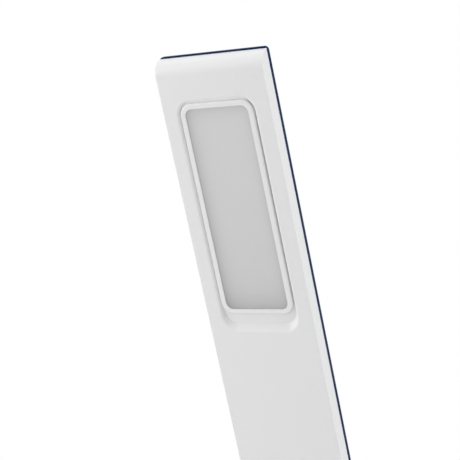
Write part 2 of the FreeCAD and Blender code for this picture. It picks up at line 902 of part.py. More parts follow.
def make_arm_lead():
    body = new_body("arm_lead")
    section = new_sketch(body, "arm_lead_section", "XY_Plane", S.bush_radius)
    draw_lead_section(section, 0.0)
    pad(body, section, board_low - S.bush_radius)
    on_arm(body)


# Hinge

def turned_piece(label, outline, name=None):
    """Makes a piece turned round the X axis from an outline of distances along and out."""
    body = new_body(label)
    sketch = new_sketch(body, f"{name or label}_section", "XY_Plane")
    draw_outline(sketch, outline[0], [line_to(*point) for point in outline[1:]] + [line_to(*outline[0])])
    revolve(body, sketch, "H_Axis")
    return body


def make_hinge_bushes():
    for side, label in ((-1, "hinge_bush_left"), (1, "hinge_bush_right")):
        end = half_arm * side
        shoulder = (half_arm - S.bush_flange_thickness) * side
        inner = (half_arm - S.bush_length) * side
        bore = S.axle_radius + S.axle_running_gap
        outline = [
            (inner, bore),
            (end, bore),
            (end, S.bush_flange_radius),
            (shoulder, S.bush_flange_radius),
            (shoulder, S.bush_radius),
            (inner, S.bush_radius),
        ]
        on_arm(turned_piece(label, outline))


def make_hinge_axle():
    head_inner = -hardware_floor
    head_outer = head_inner - S.axle_head_height
    outline = [
        (head_outer, S.axle_bore),
        (head_outer, S.axle_head_radius),
        (head_inner, S.axle_head_radius),
        (head_inner, S.axle_radius),
        (axle_end, S.axle_radius),
        (axle_end, S.axle_bore),
    ]
    body = turned_piece("hinge_axle", outline)
    slot = new_sketch(body, "axle_slot", "XY_Plane")
    half_length = S.axle_slot_length / 2
    half_width = S.axle_slot_width / 2
    draw_rectangle(slot, -half_length, half_length, -half_width, half_width)
    pocket(body, slot, S.axle_radius, ahead=True)
    on_hinge(body)


def make_washers():
    rings = []
    middle = half_arm + S.ear_gap / 2
    for side, name in ((-1, "left"), (1, "right")):
        start = middle * side - S.washer_thickness / 2
        disc = primitive("Cylinder", f"washer_disc_{name}", (0, 0, 0), Radius=S.washer_radius,
                         Height=S.washer_thickness)
        hole = primitive("Cylinder", f"washer_hole_{name}", (0, 0, 0), Height=S.washer_thickness,
                         Radius=S.axle_radius + S.axle_running_gap)
        ring = document.addObject("Part::Cut", f"washer_{name}")
        ring.Base = disc
        ring.Tool = hole
        ring.Placement = Placement(Vector(), Rotation(Vector(0, 1, 0), 90))
        bind(ring, "Placement.Base.x", start)
        rings.append(ring)
    on_hinge(group("friction_washers", rings))


def make_spring_washers():
    """Makes two cupped washers, laid rim to rim, that press the hinge together."""
    cups = []
    bore = S.axle_radius + S.axle_running_gap
    start = hardware_floor + S.spring_washer_gap
    thick = S.spring_washer_thickness
    rise = S.spring_washer_rise
    second = start + thick + 2 * rise + S.spring_washer_gap
    for number, (foot, lift) in enumerate(((start, rise), (second, -rise))):
        body = document.addObject("PartDesign::Body", f"spring_washer_{number}")
        sketch = new_sketch(body, f"spring_washer_section_{number}", "XY_Plane")
        steps = [
            line_to(foot + lift, S.spring_washer_radius),
            line_to(foot + lift + thick, S.spring_washer_radius),
            line_to(foot + thick, bore),
            line_to(foot, bore),
        ]
        draw_outline(sketch, (foot, bore), steps)
        revolve(body, sketch, "H_Axis")
        cups.append(body)
    on_hinge(group("spring_washers", cups))


def make_axle_nut():
    body = new_body("axle_nut")
    start = hardware_floor + spring_stack
    section = new_sketch(body, "nut_outline", "YZ_Plane", start)
    half_flats = S.nut_flats / 2
    corner = S.nut_flats / math.sqrt(3)
    corners = [
        (half_flats, corner / 2),
        (0.0, corner),
        (-half_flats, corner / 2),
        (-half_flats, -corner / 2),
        (0.0, -corner),
        (half_flats, -corner / 2),
    ]
    draw_outline(section, corners[0], [line_to(*point) for point in corners[1:] + corners[:1]])
    draw_circle(section, (0.0, 0.0), S.axle_radius + S.thread_clearance)
    pad(body, section, S.nut_thickness)
    on_hinge(body)


def make_hinge_caps():
    for side, label in ((-1, "hinge_cap_left"), (1, "hinge_cap_right")):
        inner = (ear_outer - S.cap_thickness) * side
        outer = ear_outer * side
        crown = (ear_outer + S.cap_dome) * side
        ball = (S.cap_radius * S.cap_radius + S.cap_dome * S.cap_dome) / (2 * S.cap_dome)
        centre = (crown - ball * side, 0.0)
        body = new_body(label)
        sketch = new_sketch(body, f"{label}_section", "XY_Plane")
        steps = [
            line_to(inner, S.cap_radius),
            line_to(outer, S.cap_radius),
            arc_to(crown, 0.0, ball, centre, -side),
            line_to(inner, 0.0),
        ]
        draw_outline(sketch, (inner, 0.0), steps)
        revolve(body, sketch, "H_Axis")
        on_hinge(body)


def make_hinge_bracket():
    body = new_body("hinge_bracket")
    plan = new_sketch(body, "bracket_plan", "XY_Plane", ballast_top)
    half_depth = S.flange_depth / 2
    draw_rectangle(plan, -tab_outer, tab_outer, hinge_y - half_depth, hinge_y + half_depth)
    for x, y in ballast_screw_places()[:4]:
        draw_circle(plan, (x, y), S.ballast_screw_radius + S.thread_clearance)
    pad(body, plan, S.tab_thickness)
    for side, name in ((tab_inner, "right_tab"), (-tab_outer, "left_tab")):
        tab = new_sketch(body, name, "YZ_Plane", side)
        draw_arch(tab, hinge_y, ballast_top, hinge_z, S.tab_radius)
        lugs = pad(body, tab, S.tab_thickness)

    def in_bend(edge):
        return lies_on(edge, "Z", flange_top) and (
            lies_on(edge, "X", tab_inner) or lies_on(edge, "X", -tab_inner)
        )

    soften(body, lugs, S.tab_bend, in_bend)
    bore = new_sketch(body, "tab_bores", "YZ_Plane")
    draw_circle(bore, (hinge_y, hinge_z), S.axle_radius + S.axle_running_gap)
    pocket(body, bore, 2 * tab_outer, both=True)


# Base

def make_base_top_cover():
    body = new_body("base_top_cover")
    plan = new_sketch(body, "top_plan", "XY_Plane", base_parting)
    draw_rounded_rectangle(
        plan, -half_base_width, half_base_width, -half_base_depth, half_base_depth, S.base_corner
    )
    block = pad(body, plan, S.base_height - base_parting)
    soften(body, block, S.base_edge_round, lambda edge: lies_on(edge, "Z", S.base_height))
    room = new_sketch(body, "top_room", "XY_Plane", base_parting)
    draw_rounded_rectangle(
        room,
        S.base_wall - half_base_width,
        half_base_width - S.base_wall,
        S.base_wall - half_base_depth,
        half_base_depth - S.base_wall,
        S.base_corner - S.base_wall,
    )
    pocket(body, room, inner_top - base_parting, ahead=True)
    bosses = new_sketch(body, "top_bosses", "XY_Plane", cup_top)
    for x, y in four_corners:
        draw_circle(bosses, (boss_x * x, boss_y * y), S.boss_radius)
    pad(body, bosses, inner_top - cup_top)
    pilots = new_sketch(body, "top_pilots", "XY_Plane", cup_top)
    for x, y in four_corners:
        draw_circle(pilots, (boss_x * x, boss_y * y), S.base_screw_radius + S.thread_clearance)
    pocket(body, pilots, S.base_screw_length - S.cup_web + S.hole_clearance, ahead=True)
    add_ears(body)
    cut_base_openings(body)


def add_ears(body):
    """Adds the two hinge ears and their bores, hardware rooms, cap seats and bracket slots."""
    for start, name in ((ear_inner, "right_ear"), (-ear_outer, "left_ear")):
        ear = new_sketch(body, name, "YZ_Plane", start)
        draw_arch(ear, hinge_y, inner_top, hinge_z, S.ear_radius)
        ears = pad(body, ear, ear_outer - ear_inner)

    def at_foot(edge):
        box = edge.BoundBox
        outside = max(-box.XMin, box.XMax) > ear_inner.value + TOLERANCE
        reach = max(hinge_y.value - box.YMin, box.YMax - hinge_y.value)
        beside = reach < S.ear_radius.value + TOLERANCE
        return lies_on(edge, "Z", S.base_height) and outside and beside

    soften(body, ears, S.ear_foot_round, at_foot)
    bore = new_sketch(body, "ear_bores", "YZ_Plane")
    draw_circle(bore, (hinge_y, hinge_z), S.axle_radius + S.hole_clearance)
    pocket(body, bore, 2 * ear_outer, both=True)
    for side, name in ((-1, "left"), (1, "right")):
        room = new_sketch(body, f"{name}_hardware_room", "YZ_Plane", ear_outer * side)
        draw_circle(room, (hinge_y, hinge_z), S.hardware_radius)
        pocket(body, room, ear_outer - hardware_floor, ahead=side < 0)
        seat = new_sketch(body, f"{name}_cap_seat", "YZ_Plane", ear_outer * side)
        draw_circle(seat, (hinge_y, hinge_z), S.cap_radius + S.cap_clearance)
        pocket(body, seat, S.cap_thickness, ahead=side < 0)
        slot_end = tab_outer + S.tab_clearance if side > 0 else S.tab_clearance - tab_inner
        slot = new_sketch(body, f"{name}_tab_slot", "YZ_Plane", slot_end)
        draw_arch(slot, hinge_y, inner_top - S.base_top_wall, hinge_z, S.tab_radius + S.tab_clearance)
        pocket(body, slot, S.tab_thickness + 2 * S.tab_clearance)


def cut_base_openings(body):
    """Cuts the button hole, the socket hole and the hinge lead's way down the left ear."""
    button = new_sketch(body, "button_hole", "XY_Plane", S.base_height)
    draw_circle(button, (0.0, button_y), S.button_radius + S.button_gap)
    pocket(body, button, S.base_top_wall)
    socket = new_sketch(body, "socket_hole", "XZ_Plane", -socket_rear)
    draw_circle(socket, (0.0, socket_z), S.socket_nose_radius + S.socket_clearance)
    pocket(body, socket, S.base_wall)
    way = new_sketch(body, "hinge_lead_way", "XY_Plane", inner_top)
    draw_circle(way, (-hinge_lead_x(), hinge_y), S.hinge_lead_radius + S.lead_clearance)
    pocket(body, way, hinge_z - inner_top, ahead=True)


def hinge_lead_x():
    """Returns how far out the hinge lead runs down, between the axle's head and the cap."""
    head_outer = hardware_floor + S.axle_head_height
    return (head_outer + ear_outer - S.cap_thickness) / 2


def make_base_bottom_cover():
    body = new_body("base_bottom_cover")
    plan = new_sketch(body, "bottom_plan", "XY_Plane", S.foot_drop)
    draw_rounded_rectangle(
        plan, -half_base_width, half_base_width, -half_base_depth, half_base_depth, S.base_corner
    )
    plate = pad(body, plan, S.bottom_wall)
    soften(body, plate, S.bottom_edge_round, lambda edge: lies_on(edge, "Z", S.foot_drop))
    rim = new_sketch(body, "bottom_rim", "XY_Plane", base_parting)
    outer = S.base_wall + S.rim_clearance
    for inset in (outer, outer + S.rim_width):
        draw_rounded_rectangle(
            rim,
            inset - half_base_width,
            half_base_width - inset,
            inset - half_base_depth,
            half_base_depth - inset,
            S.base_corner - inset,
        )
    pad(body, rim, S.rim_height)
    notch = new_sketch(body, "socket_notch", "XY_Plane", base_parting)
    half_notch = S.socket_width / 2 + S.socket_clearance
    draw_rectangle(notch, -half_notch, half_notch, socket_front, half_base_depth - S.base_wall)
    pocket(body, notch, S.rim_height, ahead=True)
    cups = new_sketch(body, "bottom_cups", "XY_Plane", base_parting)
    for x, y in four_corners:
        draw_circle(cups, (boss_x * x, boss_y * y), S.cup_radius)
    pad(body, cups, S.cup_height)
    standoffs = new_sketch(body, "standoffs", "XY_Plane", base_parting)
    for place in control_screw_places():
        draw_circle(standoffs, place, S.standoff_radius)
    pad(body, standoffs, S.standoff_height)
    cut_bottom_holes(body)


def cut_bottom_holes(body):
    """Cuts the foot seats, screw rooms, clearance holes and countersinks."""
    rounds = (
        ("foot_seats", S.foot_drop, S.foot_radius + S.foot_clearance, S.foot_recess),
        ("head_rooms", S.foot_drop, S.base_screw_head_radius + S.hole_clearance,
         cup_top - S.cup_web - S.foot_drop),
        ("screw_holes", S.foot_drop, S.base_screw_radius + S.hole_clearance, cup_top - S.foot_drop),
    )
    for name, start, radius, depth in rounds:
        sketch = new_sketch(body, name, "XY_Plane", start)
        for x, y in four_corners:
            draw_circle(sketch, (boss_x * x, boss_y * y), radius)
        pocket(body, sketch, depth, ahead=True)
    pilots = new_sketch(body, "control_pilots", "XY_Plane", control_bottom)
    for place in control_screw_places():
        draw_circle(pilots, place, S.small_screw_radius + S.thread_clearance)
    pocket(body, pilots, S.small_screw_length)
    holes = new_sketch(body, "ballast_holes", "XY_Plane", base_parting)
    for place in ballast_screw_places():
        draw_circle(holes, place, S.ballast_screw_radius + S.hole_clearance)
    pocket(body, holes, S.bottom_wall)
    for number, place in enumerate(ballast_screw_places()):
        cone = new_sketch(body, f"countersink_{number}", "XY_Plane", S.foot_drop)
        draw_circle(cone, place, S.ballast_screw_head_radius + S.hole_clearance)
        sink = pocket(body, cone, S.ballast_screw_head_radius - S.ballast_screw_radius, ahead=True)
        sink.TaperAngle = -45


def ballast_screw_places():
    """Returns the screws under the hinge bracket, then the two at the ballast's front."""
    x = S.ballast_screw_spread / 2
    y_places = [hinge_y - S.ballast_screw_pitch / 2, hinge_y + S.ballast_screw_pitch / 2]
    rear = [(side * x, y) for side in (-1, 1) for y in y_places]
    return rear + [(side * x, ballast_low + S.ballast_screw_pitch) for side in (-1, 1)]


def control_screw_places():
    x = half_control_width - S.control_screw_inset
    y = half_control_depth - S.control_screw_inset
    return [(side * x, button_y + turn * y) for side, turn in four_corners]


def make_ballast_plate():
    body = new_body("ballast_plate")
    plan = new_sketch(body, "ballast_plan", "XY_Plane", base_parting)
    half_width = S.ballast_width / 2
    draw_rounded_rectangle(plan, -half_width, half_width, ballast_low, ballast_high, S.ballast_corner)
    for place in ballast_screw_places():
        draw_circle(plan, place, S.ballast_screw_radius + S.thread_clearance)
    pad(body, plan, S.ballast_thickness)


def make_ballast_screws():
    screws = []
    height = S.ballast_screw_head_radius - S.ballast_screw_radius
    length = flange_top - S.foot_drop - height
    for number, (x, y) in enumerate(ballast_screw_places()):
        low = S.foot_drop + S.hole_clearance / 2
        name = f"ballast_screw_{number}"
        head = primitive("Cone", f"{name}_head", (x, y, low), Radius1=S.ballast_screw_head_radius,
                         Radius2=S.ballast_screw_radius, Height=height)
        shank = primitive("Cylinder", f"{name}_shank", (x, y, low + height), Height=length,
                          Radius=S.ballast_screw_radius)
        whole = document.addObject("Part::Fuse", name)
        whole.Base = head
        whole.Tool = shank
        screws.append(whole)
    group("ballast_screws", screws)


def make_base_screws():
    screws = []
    seat = cup_top - S.cup_web
    for number, (x, y) in enumerate(four_corners):
        name = f"base_screw_{number}"
        middle = (boss_x * x, boss_y * y)
        head = primitive("Cylinder", f"{name}_head", (*middle, seat - S.base_screw_head_height),
                         Radius=S.base_screw_head_radius, Height=S.base_screw_head_height)
        shank = primitive("Cylinder", f"{name}_shank", (*middle, seat), Radius=S.base_screw_radius,
                          Height=S.base_screw_length)
        whole = document.addObject("Part::Fuse", name)
        whole.Base = head
        whole.Tool = shank
        screws.append(whole)
    group("base_screws", screws)


def make_base_feet():
    feet = []
    for number, (x, y) in enumerate(four_corners):
        body = document.addObject("PartDesign::Body", f"foot_{number}")
        plan = new_sketch(body, f"foot_plan_{number}", "XY_Plane")
        draw_circle(plan, (boss_x * x, boss_y * y), S.foot_radius)
        disc = pad(body, plan, S.foot_drop + S.foot_recess)
        soften(body, disc, S.foot_edge_round, lambda edge: lies_on(edge, "Z", 0.0))
        feet.append(body)
    group("base_feet", feet)


def make_control_board():
    body = new_body("control_board")
    plan = new_sketch(body, "control_plan", "XY_Plane", control_bottom)
    draw_rectangle(
        plan,
        -half_control_width,
        half_control_width,
        button_y - half_control_depth,
        button_y + half_control_depth,
    )
    for place in control_screw_places():
        draw_circle(plan, place, S.small_screw_radius + S.hole_clearance)
    pad(body, plan, S.control_thickness)
    screws = []
    for number, (x, y) in enumerate(control_screw_places()):
        name = f"board_screw_{number}"
        head = primitive("Cylinder", f"{name}_head", (x, y, control_top), Radius=S.small_screw_head_radius,
                         Height=S.small_screw_head_height)
        length = S.control_thickness + S.small_screw_length - S.thread_clearance
        shank = primitive("Cylinder", f"{name}_shank", (x, y, control_top - length),
                          Radius=S.small_screw_radius, Height=length)
        whole = document.addObject("Part::Fuse", name)
        whole.Base = head
        whole.Tool = shank
        screws.append(whole)
    group("board_screws", screws)


def connector_places():
    """Returns the middles of the power connector and of the hinge lead's connector."""
    y = button_y + half_control_depth - S.connector_depth / 2
    return [(Size.of(0.0), y), (-S.connector_spread, y)]


def make_board_parts():
    """Makes the parts soldered on the control board: connectors, coil, capacitor and driver chip."""
    width, depth, height = S.connector_width, S.connector_depth, S.connector_height
    parts = [
        centred_box(f"connector_{number}", middle, control_top, width, depth, height)
        for number, middle in enumerate(connector_places())
    ]
    side = S.connector_spread
    coil = (side, button_y + S.switch_width / 2, control_top)
    parts.append(primitive("Cylinder", "coil", coil, Radius=S.switch_width / 2, Height=S.switch_height))
    can = (-side, button_y - S.switch_width / 2, control_top)
    sizes = {"Radius": S.connector_depth / 2, "Height": S.connector_height}
    parts.append(primitive("Cylinder", "capacitor", can, **sizes))
    middle = (side, button_y - S.switch_width)
    sizes = (S.switch_width, S.switch_height, S.control_thickness)
    parts.append(centred_box("driver_chip", middle, control_top, *sizes))
    group("board_parts", parts)


def make_switch():
    """Makes the push switch on the board and the plunger that the button presses."""
    body = new_body("switch_body")
    plan = new_sketch(body, "switch_plan", "XY_Plane", control_top)
    half_width = S.switch_width / 2
    draw_rectangle(plan, -half_width, half_width, button_y - half_width, button_y + half_width)
    pad(body, plan, S.switch_height)
    bore = new_sketch(body, "switch_bore", "XY_Plane", switch_top)
    draw_circle(bore, (0.0, button_y), S.plunger_radius + S.plunger_gap)
    pocket(body, bore, S.plunger_depth + S.button_travel + S.button_play)
    plunger = new_body("switch_plunger")
    base = new_sketch(plunger, "plunger_plan", "XY_Plane", switch_top - S.plunger_depth)
    draw_circle(base, (0.0, button_y), S.plunger_radius)
    pad(plunger, base, S.plunger_depth + S.button_travel + S.button_play)


def make_switch_button():
    """Makes the button: dished top, retaining flange under the cover and a stem on the plunger."""
    body = new_body("switch_button")
    sketch = new_sketch(body, "button_section", "XZ_Plane")
    stem_low = switch_top + S.button_travel + S.button_play
    flange_high = inner_top - S.button_play
    flange_low = flange_high - S.button_flange_thickness
    top = S.base_height + S.button_proud
    flange_radius = S.button_radius + S.button_flange
    shoulder = S.button_radius - S.button_edge_round
    dish = S.button_dish
    ball = (shoulder * shoulder + dish * dish) / (2 * dish)
    steps = [
        line_to(S.button_stem_radius, stem_low),
        line_to(S.button_stem_radius, flange_low),
        line_to(flange_radius, flange_low),
        line_to(flange_radius, flange_high),
        line_to(S.button_radius, flange_high),
        line_to(S.button_radius, top - S.button_edge_round),
        arc_to(shoulder, top, S.button_edge_round, (shoulder, top - S.button_edge_round), 1),
        arc_to(0.0, top - dish, ball, (0.0, top - dish + ball), -1),
        line_to(0.0, stem_low),
    ]
    draw_outline(sketch, (0.0, stem_low), steps)
    revolve(body, sketch, "V_Axis")
    bind(body, "Placement.Base.y", button_y)


def make_power_socket():
    """Makes the round power socket: body on the base floor, nose in the rear wall, hole and pin."""
    body = new_body("power_socket")
    plan = new_sketch(body, "socket_plan", "XY_Plane", base_parting)
    half_width = S.socket_width / 2
    draw_rectangle(plan, -half_width, half_width, socket_front, socket_rear - S.socket_clearance)
    pad(body, plan, S.socket_height)
    nose = new_sketch(body, "socket_nose", "XZ_Plane", S.socket_clearance - socket_rear)
    draw_circle(nose, (0.0, socket_z), S.socket_nose_radius)
    pad(body, nose, S.base_wall + S.socket_clearance, back=True)
    hole = new_sketch(body, "socket_bore", "XZ_Plane", -half_base_depth)
    draw_circle(hole, (0.0, socket_z), S.socket_hole_radius)
    draw_circle(hole, (0.0, socket_z), S.socket_pin_radius)
    pocket(body, hole, S.socket_hole_depth, ahead=True)
    tip = new_sketch(body, "socket_pin_tip", "XZ_Plane", -half_base_depth)
    draw_circle(tip, (0.0, socket_z), S.socket_pin_radius)
    pocket(body, tip, S.socket_pin_gap, ahead=True)


def make_power_lead():
    start = connector_front + S.connector_depth
    lead = primitive("Cylinder", "power_lead", (0.0, socket_front, power_lead_z), Radius=S.power_lead_radius,
                     Height=socket_front - start)
    lead.Label = "power_lead"
    lead.Placement = Placement(lead.Placement.Base, Rotation(Vector(1, 0, 0), 90))
    pieces.append(lead)


def make_hinge_lead():
    """Makes the lead from inside the hollow axle, down the left ear and over to the control board."""
    radius = S.hinge_lead_radius.value
    x = -hinge_lead_x().value
    y = hinge_y.value
    z = power_lead_z.value
    end_x, end_y = (size.value for size in connector_places()[1])
    end_y += S.connector_depth.value / 2 + radius
    points = [
        Vector(-S.axle_slot_length.value, y, hinge_z.value),
        Vector(x, y, hinge_z.value),
        Vector(x, y, z),
        Vector(end_x, end_y, z),
    ]
    bends = [2 * radius, inner_top.value - z]
    path = bent_path(points, bends)
    section = Part.Wire([Part.makeCircle(radius, points[0], Vector(1, 0, 0))])
    lead = document.addObject("Part::Feature", "hinge_lead")
    lead.Label = "hinge_lead"
    lead.Shape = path.makePipeShell([section], True, False)
    pieces.append(lead)


def bent_path(points, bends):
    """Joins straight runs through the points with tangent arcs of the given radii."""
    edges = []
    start = points[0]
    for before, corner, after, bend in zip(points, points[1:], points[2:], bends):
        inward = (corner - before).normalize()
        outward = (after - corner).normalize()
        half_turn = inward.getAngle(outward) / 2
        cut = bend * math.tan(half_turn)
        enter = corner - inward * cut
        leave = corner + outward * cut
        middle = corner + (outward - inward).normalize() * (bend / math.cos(half_turn) - bend)
        edges.append(Part.LineSegment(start, enter).toShape())
        edges.append(Part.Arc(enter, middle, leave).toShape())
        start = leave
    edges.append(Part.LineSegment(start, points[-1]).toShape())
    return Part.Wire(edges)


def check_and_write():
    """Checks every object and every piece, then writes one file for each piece."""
    document.recompute()
    for item in document.Objects:
        if "Invalid" in item.State or "Error" in item.State:
            raise RuntimeError(f"{item.Name} failed: {item.State}")
    for piece in pieces:
        if piece.Shape.isNull() or not piece.Shape.isValid():
            raise RuntimeError(f"{piece.Label} has no valid shape")
    os.makedirs("parts", exist_ok=True)
    for piece in pieces:
        piece.Shape.exportStep(f"parts/{piece.Label}.step")
        print(piece.Label, len(piece.Shape.Solids), round(piece.Shape.Volume, 1))


def main():
    make_arm_front_shell()
    make_arm_back_cover()
    make_lens_bezel()
    make_diffuser()
    make_reflector_sheet()
    make_led_board()
    make_led_chips()
    make_arm_screws()
    make_arm_stiffener()
    make_arm_lead()
    make_hinge_bushes()
    make_hinge_axle()
    make_washers()
    make_spring_washers()
    make_axle_nut()
    make_hinge_caps()
    make_hinge_bracket()
    make_base_top_cover()
    make_base_bottom_cover()
    make_ballast_plate()
    make_ballast_screws()
    make_base_screws()
    make_base_feet()
    make_control_board()
    make_board_parts()
    make_switch()
    make_switch_button()
    make_power_socket()
    make_power_lead()
    make_hinge_lead()
    check_and_write()


main()
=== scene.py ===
"""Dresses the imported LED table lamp: its finishes, small moulded details, studio and camera."""

import json
import logging
import math
from dataclasses import dataclass, field
from enum import Enum

import bmesh
import bpy
from mathutils import Matrix, Vector
from mathutils.bvhtree import BVHTree

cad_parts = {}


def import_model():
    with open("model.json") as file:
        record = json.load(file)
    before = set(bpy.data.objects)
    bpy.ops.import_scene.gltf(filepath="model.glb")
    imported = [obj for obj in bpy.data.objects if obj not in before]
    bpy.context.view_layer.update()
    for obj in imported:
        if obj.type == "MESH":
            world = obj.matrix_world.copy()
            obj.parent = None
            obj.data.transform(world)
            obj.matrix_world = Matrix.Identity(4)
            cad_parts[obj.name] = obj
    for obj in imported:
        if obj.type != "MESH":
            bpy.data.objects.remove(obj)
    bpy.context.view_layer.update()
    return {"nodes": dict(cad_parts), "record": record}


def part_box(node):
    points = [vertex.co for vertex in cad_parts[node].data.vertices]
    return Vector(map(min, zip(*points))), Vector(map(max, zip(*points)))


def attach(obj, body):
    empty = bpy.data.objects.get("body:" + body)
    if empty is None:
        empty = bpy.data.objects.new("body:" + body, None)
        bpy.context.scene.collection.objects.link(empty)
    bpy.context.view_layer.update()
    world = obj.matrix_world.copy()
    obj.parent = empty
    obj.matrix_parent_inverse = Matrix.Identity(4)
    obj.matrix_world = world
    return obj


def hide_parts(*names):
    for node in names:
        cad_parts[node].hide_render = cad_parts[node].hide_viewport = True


LOG = logging.getLogger("lamp")
MM = 0.001

# The hinge's place, the arm's lean at rest and how far its front lies before the hinge
HINGE = Vector((0.0, 58.0 * MM, 30.6 * MM))
ARM_TILT = math.radians(21.87)
ARM_FRONT = -9.0 * MM

# Edges that bend more than this stay sharp, and points that lie nearer than this are one
SHARP_ANGLE = math.radians(35)
WELD = 0.001 * MM

# Bodies are put in order by their places in metres, to this many digits
PLACE_DIGITS = 5

NOISE_MIDDLE = 0.5
WHITE = (1.0, 1.0, 1.0, 1.0)

Colour = tuple[float, float, float]
Place = tuple[float, float, float]
Profile = list[tuple[float, float]]
Value = float | tuple[float, ...] | bpy.types.NodeSocket


class Surface(Enum):
    """The finishes of the lamp, named as the record's material slots where it has one."""

    WHITE_SHELL = "white_shell"
    NAVY_COVER = "navy_cover"
    LIGHT_PANEL = "light_panel"
    WHITE_SHEET = "white_sheet"
    BOARD_METAL = "board_metal"
    LED_PHOSPHOR = "led_phosphor"
    STEEL = "steel"
    CIRCUIT_BOARD = "circuit_board"
    BLACK_PART = "black_part"
    PALE_BUSH = "pale_bush"
    LEAD_JACKET = "lead_jacket"
    FOOT_RUBBER = "foot_rubber"
    BEZEL_WHITE = "bezel_white"
    BUTTON_WHITE = "button_white"
    MARK_PRINT = "mark_print"


class Effect(Enum):
    """The effects that several finishes share, each of them one shader node group."""

    GRAIN = "moulded_grain"
    DRIFT = "colour_drift"


def on_arm(across: float, depth: float, along: float) -> Vector:
    """Returns the place of a point given across, through and along the arm from its hinge."""
    return HINGE + Matrix.Rotation(ARM_TILT, 3, "X") @ Vector((across, depth, along))


def off_arm(place: Vector) -> Vector:
    """Returns a point across, through and along the arm, from its place at rest."""
    return Matrix.Rotation(-ARM_TILT, 3, "X") @ (place - HINGE)


@dataclass(frozen=True)
class Outline:
    """A rounded rectangle on the arm's front, from a low to a high place along the arm."""

    half: float
    low: float
    high: float
    corner: float
    foot_corner: float

    def grown(self, by: float) -> "Outline":
        """Returns the outline with all its sides moved outwards."""
        ends = (self.half + by, self.low - by, self.high + by)
        return Outline(*ends, self.corner + by, self.foot_corner + by)

    def edge_round(self, radius: float, steps: int) -> list[tuple["Outline", float]]:
        """Returns the outlines of a round between the outline's side and a flat.

        Args:
            radius: The round's radius, below 0 where the flat lies outside the outline.
            steps: How many steps the round has.

        Returns:
            The outlines from the side to the flat, each with how far it lies under the flat.
        """
        turns = [k / steps * math.pi / 2 for k in range(steps + 1)]
        return [
            (self.grown(-radius * (1 - math.cos(turn))), abs(radius) * (1 - math.sin(turn)))
            for turn in turns
        ]

    def points(self, steps: int = 14) -> Profile:
        """Returns the outline's points.

        Args:
            steps: How many steps each corner has.

        Returns:
            Pairs of a place across and a place along the arm.
        """
        found = []
        for quarter in range(4):
            side = 1 if quarter in (0, 3) else -1
            radius = self.corner if quarter < 2 else self.foot_corner
            end = self.high - radius if quarter < 2 else self.low + radius
            middle = Vector((side * (self.half - radius), end))
            for k in range(steps + 1):
                turn = (quarter + k / steps) * math.pi / 2
                found.append(tuple(middle + radius * Vector((math.cos(turn), math.sin(turn)))))
        return found


Section = list[tuple[Outline, float]]
PANEL_OPENING = Outline(17.6 * MM, 203.05 * MM, 305.45 * MM, 3.8 * MM, 3.8 * MM)


class Graph:
    """Adds nodes to a shader tree and feeds their inputs."""

    def __init__(self, tree: bpy.types.NodeTree) -> None:
        """Takes the tree and empties it."""
        self.tree = tree
        tree.nodes.clear()

    def feed(self, socket: bpy.types.NodeSocket, value: Value) -> None:
        """Feeds one input.

        Args:
            socket: The input.
            value: A node's output, which is linked to it, or a plain value.
        """
        if isinstance(value, bpy.types.NodeSocket):
            self.tree.links.new(value, socket)
        else:
            socket.default_value = value

    def add(
        self, kind: str, inputs: dict[str | int, Value] | None = None, **settings: object
    ) -> bpy.types.Node:
        """Adds one node.

        Args:
            kind: The node's type without its ShaderNode prefix.
            inputs: What goes into its inputs, by name or number.
            settings: The node's own properties.

        Returns:
            The new node.
        """
        node = self.tree.nodes.new("ShaderNode" + kind)
        for name, value in settings.items():
            setattr(node, name, value)
        for key, value in (inputs or {}).items():
            self.feed(node.inputs[key], value)
        return node

    def math(self, operation: str, *values: Value) -> bpy.types.NodeSocket:
        """Adds a Math node and returns its result."""
        return self.add("Math", dict(enumerate(values)), operation=operation).outputs[0]

    def noise(self, where: Value, scale: Value, detail: float) -> bpy.types.NodeSocket:
        """Adds a noise from 0 to 1 over the given coordinates and returns its value."""
        inputs = {"Vector": where, "Scale": scale, "Detail": detail}
        return self.add("TexNoise", inputs).outputs[0]

    def swing(self, noise: Value, spread: Value) -> bpy.types.NodeSocket:
        """Returns a noise as a swing about 0, as wide as the spread."""
        return self.math("MULTIPLY", self.math("SUBTRACT", noise, NOISE_MIDDLE), spread)

    def scaled(self, colour: Value, by: Value) -> bpy.types.NodeSocket:
        """Returns a colour made lighter or darker by a factor."""
        return self.add("VectorMath", {0: colour, "Scale": by}, operation="SCALE").outputs[0]


